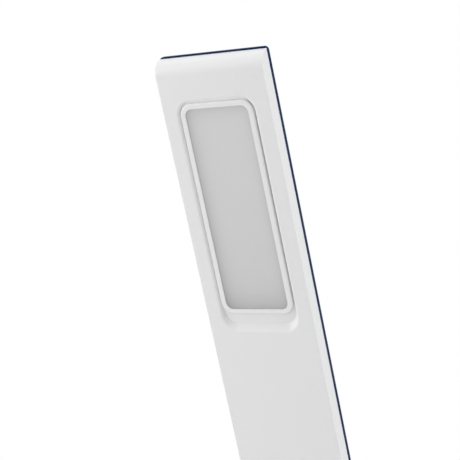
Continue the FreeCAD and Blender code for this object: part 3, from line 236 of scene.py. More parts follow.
@dataclass
class EffectShelf:
    """Makes each shared effect once and places it in the materials that use it.

    Attributes:
        fine_share: The fine grain's share in an uneven gloss, the rest of which is broad.
        fine_detail: The detail of the fine grain.
        broad_ratio: How many times as large as the grain the broad patches are.
        broad_detail: The detail of the broad patches.
        made: The node groups that are made so far.
    """

    fine_share: float = 0.35
    fine_detail: float = 2.0
    broad_ratio: float = 60.0
    broad_detail: float = 3.0
    made: dict[Effect, bpy.types.NodeTree] = field(default_factory=dict)

    def place(self, graph: Graph, effect: Effect, **inputs: Value) -> bpy.types.Node:
        """Places an effect in a material.

        Args:
            graph: The material's graph.
            effect: The effect to place.
            inputs: What goes into the effect's named inputs.

        Returns:
            The group node, whose outputs carry the effect's names.
        """
        if effect not in self.made:
            makers = {Effect.GRAIN: self.make_grain, Effect.DRIFT: self.make_drift}
            self.made[effect] = makers[effect]()
        return graph.add("Group", inputs, node_tree=self.made[effect])

    def start(
        self, effect: Effect, inputs: dict[str, str], outputs: dict[str, str]
    ) -> tuple[Graph, bpy.types.Node, bpy.types.Node]:
        """Starts a node group with its sockets.

        Args:
            effect: The effect that the group makes.
            inputs: The kind of each input socket, by name.
            outputs: The kind of each output socket, by name.

        Returns:
            The group's graph, its input node and its output node.
        """
        tree = bpy.data.node_groups.new(effect.value, "ShaderNodeTree")
        graph = Graph(tree)
        for way, sockets in (("INPUT", inputs), ("OUTPUT", outputs)):
            for name, kind in sockets.items():
                tree.interface.new_socket(name, in_out=way, socket_type="NodeSocket" + kind)
        return graph, tree.nodes.new("NodeGroupInput"), tree.nodes.new("NodeGroupOutput")

    def make_grain(self) -> bpy.types.NodeTree:
        """Makes the fine texture that a mould leaves: its relief and an uneven gloss.

        Returns:
            The node group.
        """
        sizes = {"Size": "Float", "Roughness": "Float", "Spread": "Float"}
        results = {"Height": "Float", "Roughness": "Float"}
        graph, given, result = self.start(Effect.GRAIN, sizes, results)
        where = graph.add("TexCoord").outputs["Object"]
        scale = graph.math("DIVIDE", 1.0, given.outputs["Size"])
        fine = graph.noise(where, scale, self.fine_detail)
        broad_scale = graph.math("DIVIDE", scale, self.broad_ratio)
        broad = graph.noise(where, broad_scale, self.broad_detail)
        mixed = graph.math(
            "ADD",
            graph.math("MULTIPLY", fine, self.fine_share),
            graph.math("MULTIPLY", broad, 1 - self.fine_share),
        )
        uneven = graph.swing(mixed, given.outputs["Spread"])
        rough = graph.math("ADD", given.outputs["Roughness"], uneven)
        graph.feed(result.inputs["Height"], fine)
        graph.feed(result.inputs["Roughness"], rough)
        return graph.tree

    def make_drift(self) -> bpy.types.NodeTree:
        """Makes the slight drift of a colour over a moulded or coated surface.

        Returns:
            The node group.
        """
        sizes = {"Colour": "Color", "Drift": "Float", "Patch": "Float"}
        graph, given, result = self.start(Effect.DRIFT, sizes, {"Colour": "Color"})
        where = graph.add("TexCoord").outputs["Object"]
        scale = graph.math("DIVIDE", 1.0, given.outputs["Patch"])
        cloud = graph.noise(where, scale, self.broad_detail)
        factor = graph.math("ADD", 1.0, graph.swing(cloud, given.outputs["Drift"]))
        graph.feed(result.inputs["Colour"], graph.scaled(given.outputs["Colour"], factor))
        return graph.tree


@dataclass(frozen=True)
class Finish:
    """A finish in one colour, with the grain of its mould, die or coating.

    Attributes:
        colour: The plain colour.
        roughness: The middle roughness, which swings over the surface by the spread.
        spread: How wide that swing is.
        grain: The size of the grain, and of the speckle.
        relief: How far the grain stands up.
        drift: How wide the colour's broad swing is.
        patch: The size of the patches of that swing.
        speckle: How wide the colour's fine swing is.
        metallic: 1 for bare metal.
        specular: The level of the sheen.
        tint: The colour of the sheen.
    """

    colour: Colour
    roughness: float
    spread: float = 0.08
    grain: float = 0.35 * MM
    relief: float = 0.004 * MM
    drift: float = 0.03
    patch: float = 40 * MM
    speckle: float = 0.02
    metallic: float = 0.0
    specular: float = 0.5
    tint: Colour = (1.0, 1.0, 1.0)

    def build(self, name: str, shelf: EffectShelf) -> bpy.types.Material:
        """Builds the finish as a node material.

        Args:
            name: The material's name.
            shelf: Where the shared effects come from.

        Returns:
            The material.
        """
        material = bpy.data.materials.new(name)
        material.use_nodes = True
        graph = Graph(material.node_tree)
        grain = shelf.place(
            graph, Effect.GRAIN, Size=self.grain, Roughness=self.roughness, Spread=self.spread
        )
        bump = graph.add("Bump", {"Height": grain.outputs["Height"], "Distance": self.relief})
        shader = graph.add("BsdfPrincipled", {
            "Base Color": self.colouring(graph, shelf),
            "Roughness": grain.outputs["Roughness"],
            "Normal": bump.outputs["Normal"],
            "Metallic": self.metallic,
            "Specular IOR Level": self.specular,
            "Specular Tint": (*self.tint, 1.0),
        })
        graph.add("OutputMaterial", {"Surface": shader.outputs["BSDF"]})
        material.diffuse_color = (*self.colour, 1.0)
        return material

    def colouring(self, graph: Graph, shelf: EffectShelf) -> bpy.types.NodeSocket:
        """Adds the colour over the surface, with a broad drift and a fine speckle.

        Args:
            graph: The material's graph.
            shelf: Where the shared effects come from.

        Returns:
            The colour's output.
        """
        colour: Value = (*self.colour, 1.0)
        for drift, patch in ((self.drift, self.patch), (self.speckle, self.grain)):
            placed = shelf.place(graph, Effect.DRIFT, Colour=colour, Drift=drift, Patch=patch)
            colour = placed.outputs["Colour"]
        return colour


@dataclass(frozen=True)
class EdgeShade:
    """How much painted shade darkens a frosted panel at one edge, and how far in that reaches."""

    depth: float
    reach: float


@dataclass(frozen=True)
class FrostedPanel(Finish):
    """A frosted light panel, unlit, whose colour carries painted shade: darker towards the frame
    that holds it and towards its foot.
    """

    opening: Outline = PANEL_OPENING
    left: EdgeShade = EdgeShade(0.313, 3.39 * MM)
    right: EdgeShade = EdgeShade(0.129, 2.15 * MM)
    foot: EdgeShade = EdgeShade(0.257, 5.6 * MM)
    lower: EdgeShade = EdgeShade(0.081, 60.0 * MM)
    top: EdgeShade = EdgeShade(0.165, 2.88 * MM)

    def colouring(self, graph: Graph, shelf: EffectShelf) -> bpy.types.NodeSocket:
        """Adds the panel's colour, with painted shade at its edges and towards its foot.

        Args:
            graph: The material's graph.
            shelf: Where the shared effects come from.

        Returns:
            The colour's output.
        """
        place = graph.add("Mapping", {
            "Vector": graph.add("TexCoord").outputs["Object"],
            "Rotation": (-ARM_TILT, 0.0, 0.0),
            "Location": tuple(off_arm(Vector())),
        })
        parts = graph.add("SeparateXYZ", {0: place.outputs[0]})
        across, along = parts.outputs["X"], parts.outputs["Z"]
        from_foot = graph.math("SUBTRACT", along, self.opening.low)
        distances = (
            (self.left, graph.math("ADD", across, self.opening.half)),
            (self.right, graph.math("SUBTRACT", self.opening.half, across)),
            (self.foot, from_foot),
            (self.lower, from_foot),
            (self.top, graph.math("SUBTRACT", self.opening.high, along)),
        )
        # Painted shade: the colour darkens near each edge of the opening, unevenly from side to
        # side, and slightly all the way up from the foot
        light: Value = 1.0
        for shade, distance in distances:
            fall = graph.math("EXPONENT", graph.math("DIVIDE", distance, -shade.reach))
            light = graph.math("SUBTRACT", light, graph.math("MULTIPLY", fall, shade.depth))
        return graph.scaled(super().colouring(graph, shelf), light)


FINISHES: dict[Surface, Finish] = {
    Surface.WHITE_SHELL: Finish((0.815, 0.815, 0.82), 0.42, drift=0.012, patch=60 * MM),
    Surface.BEZEL_WHITE: Finish((0.83, 0.83, 0.835), 0.30, relief=0.002 * MM, drift=0.01),
    Surface.BUTTON_WHITE: Finish((0.80, 0.80, 0.805), 0.34, relief=0.003 * MM, drift=0.012),
    Surface.NAVY_COVER: Finish(
        (0.0005, 0.0155, 0.07), 0.46, spread=0.14, relief=0.012 * MM, drift=0.12, speckle=0.45,
        specular=0.10, tint=(0.2, 0.6, 1.0),
    ),
    Surface.LIGHT_PANEL: FrostedPanel((0.674, 0.674, 0.676), 0.55, grain=0.2 * MM, drift=0.012),
    Surface.WHITE_SHEET: Finish((0.86, 0.86, 0.86), 0.60, drift=0.01),
    Surface.BOARD_METAL: Finish((0.72, 0.73, 0.73), 0.45, drift=0.02),
    Surface.LED_PHOSPHOR: Finish((0.85, 0.64, 0.08), 0.30, drift=0.10, patch=1.5 * MM),
    Surface.STEEL: Finish(
        (0.55, 0.55, 0.56), 0.34, grain=0.12 * MM, drift=0.12, patch=3 * MM, metallic=1.0,
    ),
    Surface.CIRCUIT_BOARD: Finish((0.01, 0.08, 0.03), 0.38, drift=0.20, patch=4 * MM),
    Surface.BLACK_PART: Finish((0.012, 0.012, 0.014), 0.40, drift=0.15, patch=10 * MM),
    Surface.PALE_BUSH: Finish((0.64, 0.62, 0.54), 0.38, drift=0.03, patch=8 * MM),
    Surface.LEAD_JACKET: Finish((0.02, 0.02, 0.022), 0.55, drift=0.15, patch=6 * MM),
    Surface.FOOT_RUBBER: Finish(
        (0.014, 0.014, 0.014), 0.72, grain=0.5 * MM, relief=0.02 * MM, drift=0.2, patch=5 * MM,
        speckle=0.3,
    ),
    Surface.MARK_PRINT: Finish((0.0015, 0.014, 0.066), 0.45, drift=0.10, patch=2 * MM),
}


@dataclass
class Palette:
    """Builds each finish once and gives it to nodes and pieces."""

    shelf: EffectShelf = field(default_factory=EffectShelf)
    built: dict[Surface, bpy.types.Material] = field(default_factory=dict)

    def material(self, surface: Surface) -> bpy.types.Material:
        """Gives a finish's material, which is built when it is first asked for.

        Args:
            surface: The finish.

        Returns:
            The material.
        """
        if surface not in self.built:
            self.built[surface] = FINISHES[surface].build(surface.value, self.shelf)
        return self.built[surface]

    def paint(self, thing: bpy.types.Object, surface: Surface) -> None:
        """Puts a finish on all of an object.

        Args:
            thing: The object.
            surface: The finish.
        """
        if not thing.material_slots:
            thing.data.materials.append(self.material(surface))
        for slot in thing.material_slots:
            slot.material = self.material(surface)
        LOG.info("%s is finished in %s", thing.name, surface.value)


def as_object(name: str, mesh: bmesh.types.BMesh) -> bpy.types.Object:
    """Makes an object from a mesh and puts it into the scene.

    Args:
        name: The object's name.
        mesh: The mesh, which is used up.

    Returns:
        The object.
    """
    data = bpy.data.meshes.new(name)
    mesh.to_mesh(data)
    mesh.free()
    thing = bpy.data.objects.new(name, data)
    bpy.context.scene.collection.objects.link(thing)
    return thing


def bridge(mesh: bmesh.types.BMesh, rows: list[list[bmesh.types.BMVert]], ring: bool) -> None:
    """Closes a skin over rows of points that each go round.

    Args:
        mesh: The mesh that holds the points.
        rows: The rows in order, all with the same number of points.
        ring: Whether the last row joins the first, or both are closed with a face.
    """
    for near, far in zip(rows, rows[1:] + rows[:1] if ring else rows[1:]):
        for k in range(len(near)):
            mesh.faces.new([near[k - 1], near[k], far[k], far[k - 1]])
    if not ring:
        for row in (rows[0], rows[-1]):
            mesh.faces.new(row)
    bmesh.ops.recalc_face_normals(mesh, faces=mesh.faces)


def stacked(section: Section, ring: bool) -> bmesh.types.BMesh:
    """Makes a closed mesh from outlines on the arm.

    Args:
        section: The outlines in order, each with its depth through the arm.
        ring: Whether the last outline joins the first, or both are closed with a face.

    Returns:
        The mesh, in the row frame.
    """
    mesh = bmesh.new()
    rows = [
        [mesh.verts.new(on_arm(across, depth, along)) for across, along in outline.points()]
        for outline, depth in section
    ]
    bridge(mesh, rows, ring)
    return mesh


class Turned:
    """Makes meshes that are turned about an upright axis."""

    @staticmethod
    def lathe(profile: Profile, steps: int = 64) -> bmesh.types.BMesh:
        """Turns a profile about the Z axis.

        Args:
            profile: Pairs of radius and height, from one end on the axis to the other.
            steps: How many flats the turn has.

        Returns:
            The closed mesh.
        """
        mesh = bmesh.new()
        rings = []
        for radius, height in profile:
            turns = [2 * math.pi * k / steps for k in range(steps if radius else 1)]
            places = [(radius * math.cos(t), radius * math.sin(t), height) for t in turns]
            rings.append([mesh.verts.new(place) for place in places])
        for low, high in zip(rings, rings[1:]):
            for k in range(steps):
                around = ((low, k), (low, k + 1), (high, k + 1), (high, k))
                corners = [ring[j % len(ring)] for ring, j in around]
                mesh.faces.new(list(dict.fromkeys(corners)))
        bmesh.ops.recalc_face_normals(mesh, faces=mesh.faces)
        return mesh

    @staticmethod
    def rounded(points: Profile, radius: float, steps: int = 5) -> Profile:
        """Rounds the inner corners of a profile.

        Args:
            points: The profile's corners.
            radius: How far from each corner its round starts.
            steps: How many steps each round has.

        Returns:
            The profile with rounds in place of its inner corners.
        """
        result = [points[0]]
        for before, corner, after in zip(points, points[1:], points[2:]):
            middle = Vector(corner)
            start = middle + (Vector(before) - middle).normalized() * radius
            end = middle + (Vector(after) - middle).normalized() * radius
            for k in range(steps + 1):
                t = k / steps
                place = (1 - t) ** 2 * start + 2 * t * (1 - t) * middle + t * t * end
                result.append(tuple(place))
        return result + [points[-1]]


@dataclass
class SubAssembly:
    """A part of the lamp: some CAD nodes, and the pieces that are built for it here."""

    palette: Palette
    nodes: dict[str, bpy.types.Object]
    slots: dict[str, str]
    body: str = "base"
    own: tuple[str, ...] = ()
    special: dict[str, Surface] = field(default_factory=dict)

    def build(self) -> None:
        """Builds the pieces that the CAD nodes lack; a plain sub-assembly has none."""

    def dress(self) -> None:
        """Gives each CAD node its finish."""
        for name in self.own:
            surface = self.special.get(name) or Surface(self.slots[name])
            self.palette.paint(self.nodes[name], surface)

    def islands(self, node: str) -> list[tuple[Vector, Vector]]:
        """Finds the separate bodies in a CAD node.

        Args:
            node: The node's name.

        Returns:
            The lowest and highest corner of each body, from left to right.
        """
        mesh = bmesh.new()
        mesh.from_mesh(self.nodes[node].data)
        bmesh.ops.remove_doubles(mesh, verts=mesh.verts, dist=WELD)
        left, found = set(mesh.verts), []
        while left:
            grown, edge = set(), [next(iter(left))]
            while edge:
                vert = edge.pop()
                if vert not in grown:
                    grown.add(vert)
                    edge.extend(e.other_vert(vert) for e in vert.link_edges)
            left -= grown
            corners = [[pick(v.co[k] for v in grown) for k in range(3)] for pick in (min, max)]
            found.append(tuple(Vector(corner) for corner in corners))
        mesh.free()
        return sorted(found, key=lambda box: tuple(round(c, PLACE_DIGITS) for c in box[0]))

    def piece(
        self, name: str, mesh: bmesh.types.BMesh, surface: Surface, slot: str
    ) -> bpy.types.Object:
        """Makes a piece of the lamp from a mesh.

        Args:
            name: The piece's name.
            mesh: The mesh, in the row frame, which is used up.
            surface: The piece's finish.
            slot: The record's slot that the finish belongs to; not used.

        Returns:
            The piece, which rides on this sub-assembly's body.
        """
        thing = as_object(name, mesh)
        thing.data.shade_smooth()
        thing.data.set_sharp_from_angle(angle=SHARP_ANGLE)
        self.palette.paint(thing, surface)
        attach(thing, self.body)
        return thing


@dataclass
class Arm(SubAssembly):
    """The moulded arm: its white shell, navy back cover and what they close in."""

    body: str = "arm"
    own: tuple[str, ...] = (
        "arm_front_shell", "arm_stiffener", "stiffener_screws", "arm_lead", "hinge_bush_left",
        "hinge_bush_right",
    )
    cover_thickness: float = 2.0 * MM
    cover_overhang: float = 0.2 * MM
    cover_corner: float = 2.0 * MM
    cover_foot_corner: float = 0.4 * MM
    cover_round: float = 0.25 * MM
    round_steps: int = 4
    flat_margin: float = 0.075 * MM

    def build(self) -> None:
        """Builds the back cover, a plate with small rounds, slightly wider than the shell."""
        places = [off_arm(corner.co) for corner in self.nodes["arm_back_cover"].data.vertices]
        half = max(place.x for place in places) + self.cover_overhang
        low, high = min(place.z for place in places), max(place.z for place in places)
        back = max(place.y for place in places)
        plate = Outline(half, low, high, self.cover_corner, self.cover_foot_corner)
        rounds = plate.edge_round(self.cover_round, self.round_steps)
        section = [
            (plate, back - self.cover_thickness),
            *((outline, back - under) for outline, under in rounds),
            (plate.grown(-self.cover_round - self.flat_margin), back),
        ]
        mesh = stacked(section, ring=False)
        cover = self.piece("back_cover", mesh, Surface.NAVY_COVER, "navy_cover")
        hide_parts("arm_back_cover")


@dataclass
class LightHead(SubAssembly):
    """The light in the arm's head: bezel, panel, reflector and light board.

    The bezel's section goes from its opening over its front to its outside, down to a flange and
    a skirt in the pocket, and back by its seat on the panel. Its depths are measured from the
    arm's front face.
    """

    body: str = "arm"
    own: tuple[str, ...] = (
        "diffuser", "reflector_sheet", "led_board", "led_chips", "led_board_screws",
    )
    opening: Outline = PANEL_OPENING
    seat: Outline = Outline(18.15 * MM, 203.15 * MM, 305.55 * MM, 4.15 * MM, 4.15 * MM)
    outside: Outline = Outline(20.5 * MM, 200.6 * MM, 308.2 * MM, 6.5 * MM, 6.5 * MM)
    flange: Outline = Outline(20.52 * MM, 200.58 * MM, 309.4 * MM, 7.3 * MM, 6.52 * MM)
    skirt: Outline = Outline(20.52 * MM, 200.58 * MM, 308.85 * MM, 6.9 * MM, 6.52 * MM)
    lip_depth: float = 0.29 * MM
    flange_low: float = 1.0 * MM
    flange_high: float = 0.55 * MM
    flange_edge: float = 0.05 * MM
    skirt_depth: float = 1.2 * MM
    foot_depth: float = 1.8 * MM
    inner_round: float = 0.2 * MM
    outer_round: float = 0.7 * MM
    round_steps: int = 5
    flat_margin: float = 0.08 * MM

    def build(self) -> None:
        """Builds the bezel round the panel, flat on top, with a lip over the panel's edge."""
        section = [(outline, ARM_FRONT + under) for outline, under in self.section()]
        mesh = stacked(section, ring=True)
        bezel = self.piece("panel_bezel", mesh, Surface.BEZEL_WHITE, "white_shell")
        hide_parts("lens_bezel")

    def section(self) -> Section:
        """Lists the bezel's outlines in order round its section.

        Returns:
            The outlines, each with its depth under the arm's front.
        """
        inner = self.opening.edge_round(-self.inner_round, self.round_steps)
        outer = self.outside.edge_round(self.outer_round, self.round_steps)
        return [
            (self.opening, self.lip_depth),
            *inner,
            (self.opening.grown(self.inner_round + self.flat_margin), 0.0),
            (self.outside.grown(-self.outer_round - self.flat_margin), 0.0),
            *reversed(outer),
            (self.outside, self.flange_low),
            (self.flange, self.flange_high),
            (self.flange, self.flange_high + self.flange_edge),
            (self.skirt, self.skirt_depth),
            (self.skirt, self.foot_depth),
            (self.seat, self.foot_depth),
            (self.seat, self.lip_depth),
        ]


@dataclass
class Hinge(SubAssembly):
    """The friction hinge between the base's ears."""

    own: tuple[str, ...] = (
        "hinge_bracket", "hinge_axle", "friction_washers", "spring_washers", "axle_nut",
        "hinge_cap_left", "hinge_cap_right", "hinge_lead",
    )


@dataclass
class Base(SubAssembly):
    """The weighted base, with its feet and screws.

    What is called a share is a share of the foot's radius in the dish, of the head's radius in
    the shank, of the shank's radius at its tip, and of the recess's reach in its cutter.
    """

    own: tuple[str, ...] = (
        "base_top_cover", "base_bottom_cover", "ballast_plate", "control_board", "board_parts",
        "board_screws", "switch_body", "power_socket", "power_lead", "base_screws",
    )
    foot_round: float = 0.7 * MM
    foot_dish: float = 0.25 * MM
    dish_floor_share: float = 0.55
    dish_rim_share: float = 0.72
    screw_flats: int = 48
    shank_share: float = 0.5
    head_land: float = 0.12 * MM
    tip_length: float = 0.6 * MM
    tip_share: float = 0.6
    recess_reach: float = 1.9 * MM
    recess_width: float = 0.75 * MM
    recess_depth: float = 1.3 * MM
    recess_floor_share: float = 0.45
    cutter_start: float = -0.3 * MM
    cutter_start_share: float = 1.15

    def build(self) -> None:
        """Builds the rubber feet and the cross-head screws of the underside."""
        self.build_feet()
        self.build_screws()

    def build_feet(self) -> None:
        """Builds the four rubber feet, soft at the rim and slightly dished."""
        feet = bmesh.new()
        for low, high in self.islands("base_feet"):
            radius, height = (high.x - low.x) / 2, high.z - low.z
            outline = [
                (0.0, self.foot_dish), (self.dish_floor_share * radius, self.foot_dish),
                (self.dish_rim_share * radius, 0.0), (radius, 0.0), (radius, height), (0.0, height),
            ]
            foot = Turned.lathe(Turned.rounded(outline, self.foot_round))
            self.join(feet, foot, low, high)
        piece = self.piece("rubber_feet", feet, Surface.FOOT_RUBBER, "foot_rubber")
        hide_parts("base_feet")

    def build_screws(self) -> None:
        """Builds the countersunk screws of the underside, each with a cross recess."""
        screws = bmesh.new()
        for low, high in self.islands("ballast_screws"):
            screw = self.screw((high.x - low.x) / 2, high.z - low.z)
            self.join(screws, screw, low, high)
        piece = self.piece("cross_head_screws", screws, Surface.STEEL, "steel")
        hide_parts("ballast_screws")

    def screw(self, radius: float, length: float) -> bmesh.types.BMesh:
        """Makes one countersunk screw with its head down at the origin.

        Args:
            radius: The head's radius.
            length: The screw's whole length.

        Returns:
            The screw's mesh.
        """
        shank = self.shank_share * radius
        outline = [
            (0.0, 0.0), (radius - self.head_land, 0.0), (radius, self.head_land),
            (shank, radius - shank + self.head_land), (shank, length - self.tip_length),
            (self.tip_share * shank, length), (0.0, length),
        ]
        body = as_object("screw_body", Turned.lathe(outline, self.screw_flats))
        tool = as_object("screw_cutter", self.recess_cutter())
        cut = body.modifiers.new("recess", "BOOLEAN")
        cut.operation, cut.object, cut.solver, cut.use_self = "DIFFERENCE", tool, "EXACT", True
        result = bmesh.new()
        result.from_object(body, bpy.context.evaluated_depsgraph_get())
        for thing in (body, tool):
            bpy.data.objects.remove(thing)
        return result

    def recess_cutter(self) -> bmesh.types.BMesh:
        """Makes what cuts a cross recess: two crossed wedges that narrow towards its floor.

        Returns:
            The cutter's mesh, which starts outside the screw's head.
        """
        cutter = bmesh.new()
        reach, half = self.recess_reach, self.recess_width / 2
        mouth = [(-reach, -half), (reach, -half), (reach, half), (-reach, half)]
        ends = (
            (self.cutter_start_share, self.cutter_start),
            (self.recess_floor_share, self.recess_depth),
        )
        for angle in (0.0, math.pi / 2):
            turn = Matrix.Rotation(angle, 2)
            rows = [
                [cutter.verts.new((*(turn @ Vector((x * share, y))), z)) for x, y in mouth]
                for share, z in ends
            ]
            bridge(cutter, rows, ring=False)
        return cutter

    @staticmethod
    def join(
        whole: bmesh.types.BMesh, part: bmesh.types.BMesh, low: Vector, high: Vector
    ) -> None:
        """Adds a turned part to a larger mesh, where a body of a CAD node stands.

        Args:
            whole: The mesh that takes the part.
            part: The part, upright on the origin, which is used up.
            low: The lowest corner of the body.
            high: The highest corner of the body.
        """
        middle = (low + high) / 2
        data = bpy.data.meshes.new("joined")
        part.to_mesh(data)
        part.free()
        data.transform(Matrix.Translation((middle.x, middle.y, low.z)))
        whole.from_mesh(data)
        bpy.data.meshes.remove(data)


@dataclass
class Button(SubAssembly):
    """The push button, with the usual sign for power printed in its dish.

    The film's section is given in shares of half the stroke's width and of the film's thickness.
    """

    body: str = "button"
    own: tuple[str, ...] = ("switch_button", "switch_plunger")
    special: dict[str, Surface] = field(
        default_factory=lambda: {"switch_button": Surface.BUTTON_WHITE}
    )
    ring_radius: float = 2.7 * MM
    ring_steps: int = 72
    gap_deg: float = 76.0
    bar_low: float = 0.7 * MM
    bar_high: float = 3.6 * MM
    bar_steps: int = 12
    stroke: float = 0.55 * MM
    film: float = 0.02 * MM
    film_section: tuple[tuple[float, float], ...] = (
        (-1.0, 0.0), (-0.9, 0.7), (0.0, 1.0), (0.9, 0.7),
        (1.0, 0.0), (0.9, -0.5), (0.0, -0.5), (-0.9, -0.5),
    )
    print_height: float = 10 * MM

    def build(self) -> None:
        """Builds the printed sign, laid on the dish."""
        low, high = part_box("switch_button")
        middle = (low + high) / 2
        half_gap = math.radians(self.gap_deg / 2)
        start, sweep = math.pi / 2 + half_gap, 2 * math.pi - 2 * half_gap
        turns = [start + sweep * k / self.ring_steps for k in range(self.ring_steps + 1)]
        ring = [self.ring_radius * Vector((math.cos(t), math.sin(t))) for t in turns]
        rise = self.bar_high - self.bar_low
        heights = [self.bar_low + rise * k / self.bar_steps for k in range(self.bar_steps + 1)]
        bar = [Vector((0.0, height)) for height in heights]
        depsgraph = bpy.context.evaluated_depsgraph_get()
        dish = BVHTree.FromObject(self.nodes["switch_button"], depsgraph)
        above = Vector((middle.x, middle.y, high.z + self.print_height))
        mark = bmesh.new()
        for line in (ring, bar):
            self.lay_stroke(mark, line, dish, above)
        self.piece("power_mark", mark, Surface.MARK_PRINT, "navy_cover")

    def lay_stroke(
        self, mark: bmesh.types.BMesh, line: list[Vector], dish: BVHTree, above: Vector
    ) -> None:
        """Lays one printed stroke on the dish.

        Args:
            mark: The mesh that takes the stroke.
            line: The stroke's middle line, about the button's middle.
            dish: The button's surface.
            above: A point over the button's middle.
        """
        down = Vector((0.0, 0.0, -1.0))
        rows = []
        for k, point in enumerate(line):
            ahead = (line[min(k + 1, len(line) - 1)] - line[max(k - 1, 0)]).normalized()
            side = Vector((-ahead.y, ahead.x)) * self.stroke / 2
            row = []
            for share, lift in self.film_section:
                flat = point + side * share
                hit = dish.ray_cast(above + flat.to_3d(), down)[0]
                row.append(mark.verts.new(hit - down * self.film * lift))
            rows.append(row)
        bridge(mark, rows, ring=False)


@dataclass(frozen=True)
class Softbox:
    """A soft studio lamp."""

    name: str
    place: Place
    size: float
    radiance: float
    aim: Place = (0.0, -0.05, 0.28)

    def build(self) -> None:
        """Hangs the lamp in the studio."""
        data = bpy.data.lights.new(self.name, "AREA")
        data.shape, data.size = "DISK", self.size
        # A disc sends out its radiance times pi over its whole area
        data.energy = self.radiance * math.pi * math.pi * (self.size / 2) ** 2
        lamp = bpy.data.objects.new(self.name, data)
        lamp.location = self.place
        lamp.rotation_mode = "QUATERNION"
        ahead = Vector(self.aim) - Vector(self.place)
        lamp.rotation_quaternion = ahead.to_track_quat("-Z", "Y")
        lamp.visible_camera = False
        bpy.context.scene.collection.objects.link(lamp)
        LOG.info("%s hangs at %s", self.name, self.place)


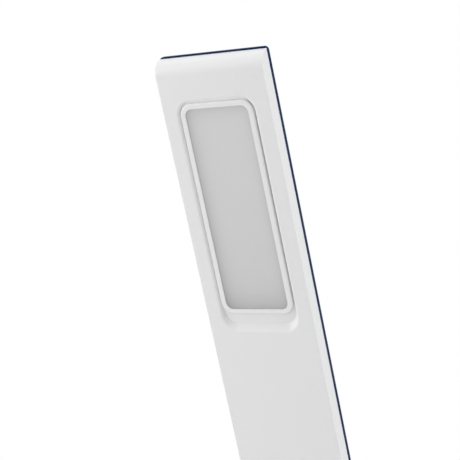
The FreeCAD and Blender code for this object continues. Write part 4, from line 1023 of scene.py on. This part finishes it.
@dataclass
class Studio:
    """A plain white studio: pale floor, even surroundings and soft lamps."""

    floor_radius: float = 1.0
    floor_segments: int = 128
    floor_colour: Colour = (0.86, 0.86, 0.86)
    floor_drift: float = 0.03
    drift_scale: float = 40.0
    drift_detail: float = 3.0
    fade_from: float = 0.30
    fade_to: float = 0.97
    surround: float = 0.485
    lamps: tuple[Softbox, ...] = (
        Softbox("key_softbox", (-0.60, -0.42, 0.32), 0.5, 3.46),
        Softbox("top_softbox", (0.0, -0.45, 1.35), 0.7, 4.5),
        Softbox("side_softbox", (0.95, 0.0, 0.45), 0.6, 3.66),
    )

    def build(self) -> None:
        """Builds the floor, the surroundings and the lamps."""
        bpy.context.scene.view_settings.view_transform = "Standard"
        self.build_floor()
        self.build_surround()
        for lamp in self.lamps:
            lamp.build()

    @staticmethod
    def white_rays(graph: Graph) -> bpy.types.NodeSocket:
        """Tells the rays that see the background itself from those that carry light.

        Args:
            graph: The graph of the background's material.

        Returns:
            An output that is 1 for the rays that see it, and 0 for the others.
        """
        path = graph.add("LightPath").outputs
        seen = graph.math("MAXIMUM", path["Is Camera Ray"], path["Is Glossy Ray"])
        return graph.math("MAXIMUM", seen, path["Is Transmission Ray"])

    def build_surround(self) -> None:
        """Builds the even surroundings, which are white where they are seen."""
        world = bpy.data.worlds.new("surround")
        bpy.context.scene.world = world
        world.use_nodes = True
        graph = Graph(world.node_tree)
        lit = graph.add("Background", {"Color": WHITE, "Strength": self.surround})
        seen = graph.add("Background", {"Color": WHITE, "Strength": 1.0})
        share = self.white_rays(graph)
        mixed = graph.add("MixShader", {0: share, 1: lit.outputs[0], 2: seen.outputs[0]})
        graph.add("OutputWorld", {"Surface": mixed.outputs[0]})

    def build_floor(self) -> None:
        """Builds the floor, a disc that keeps the lamp's shadow and fades to white around it."""
        mesh = bmesh.new()
        bmesh.ops.create_circle(
            mesh, cap_ends=True, segments=self.floor_segments, radius=self.floor_radius
        )
        floor = as_object("floor", mesh)
        floor.data.materials.append(self.floor_finish())

    def floor_finish(self) -> bpy.types.Material:
        """Builds the floor's material.

        Returns:
            A pale matt sweep, seen only from above.
        """
        material = bpy.data.materials.new("pale_floor")
        material.use_nodes = True
        graph = Graph(material.node_tree)
        where = graph.add("TexCoord").outputs["Object"]
        cloud = graph.noise(where, self.drift_scale, self.drift_detail)
        tone = graph.math("ADD", 1.0, graph.swing(cloud, self.floor_drift))
        matt = graph.add("BsdfDiffuse", {"Color": graph.scaled(self.floor_colour, tone)})
        white = graph.add("Emission", {"Color": WHITE, "Strength": 1.0})
        far = graph.add("VectorMath", {0: where}, operation="LENGTH").outputs["Value"]
        reach = {"Value": far, "From Min": self.fade_from, "From Max": self.fade_to}
        fade = graph.add("MapRange", reach, interpolation_type="SMOOTHSTEP").outputs[0]
        share = graph.math("MULTIPLY", fade, self.white_rays(graph))
        top = graph.add("MixShader", {0: share, 1: matt.outputs[0], 2: white.outputs[0]})
        clear = graph.add("BsdfTransparent")
        behind = graph.add("NewGeometry").outputs["Backfacing"]
        both = graph.add("MixShader", {0: behind, 1: top.outputs[0], 2: clear.outputs[0]})
        graph.add("OutputMaterial", {"Surface": both.outputs[0]})
        return material


@dataclass
class PhotoCamera:
    """The camera, at the photograph's viewing angle.

    It stands away from the middle of the arm's top edge, and aside from and below it as the
    picture is held.
    """

    azimuth_deg: float = 32.70
    elevation_deg: float = -2.67
    lens_mm: float = 115.23
    sensor_mm: float = 36.0
    away: float = 685.73 * MM
    aside: float = 12.09 * MM
    below: float = 80.96 * MM
    head_place: Place = (0.0, ARM_FRONT, 330.25 * MM)
    clip: tuple[float, float] = (0.01, 20.0)

    def build(self) -> None:
        """Places the camera by the middle of the arm's top edge."""
        head = on_arm(*self.head_place)
        a, e = math.radians(self.azimuth_deg), math.radians(self.elevation_deg)
        back = Vector((math.sin(a) * math.cos(e), -math.cos(a) * math.cos(e), math.sin(e)))
        right = Vector((math.cos(a), math.sin(a), 0.0))
        up = back.cross(right)
        data = bpy.data.cameras.new("photo_camera")
        data.lens, data.sensor_width, data.sensor_fit = self.lens_mm, self.sensor_mm, "HORIZONTAL"
        data.clip_start, data.clip_end = self.clip
        camera = bpy.data.objects.new("photo_camera", data)
        turn = Matrix((right, up, back)).transposed().to_4x4()
        place = head + back * self.away + right * self.aside - up * self.below
        camera.matrix_world = Matrix.Translation(place) @ turn
        bpy.context.scene.collection.objects.link(camera)
        bpy.context.scene.camera = camera


def main() -> None:
    """Loads the frame, then builds and dresses each part of the lamp in turn."""
    logging.basicConfig(level=logging.INFO, format="%(name)s: %(message)s")
    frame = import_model()
    slots = {part["node"]: part["material_slot"] for part in frame["record"]["subparts"]}
    palette = Palette()
    for kind in (Arm, LightHead, Hinge, Base, Button):
        part = kind(palette, frame["nodes"], slots)
        part.build()
        part.dress()
    Studio().build()
    PhotoCamera().build()


if __name__ == "__main__":
    main()
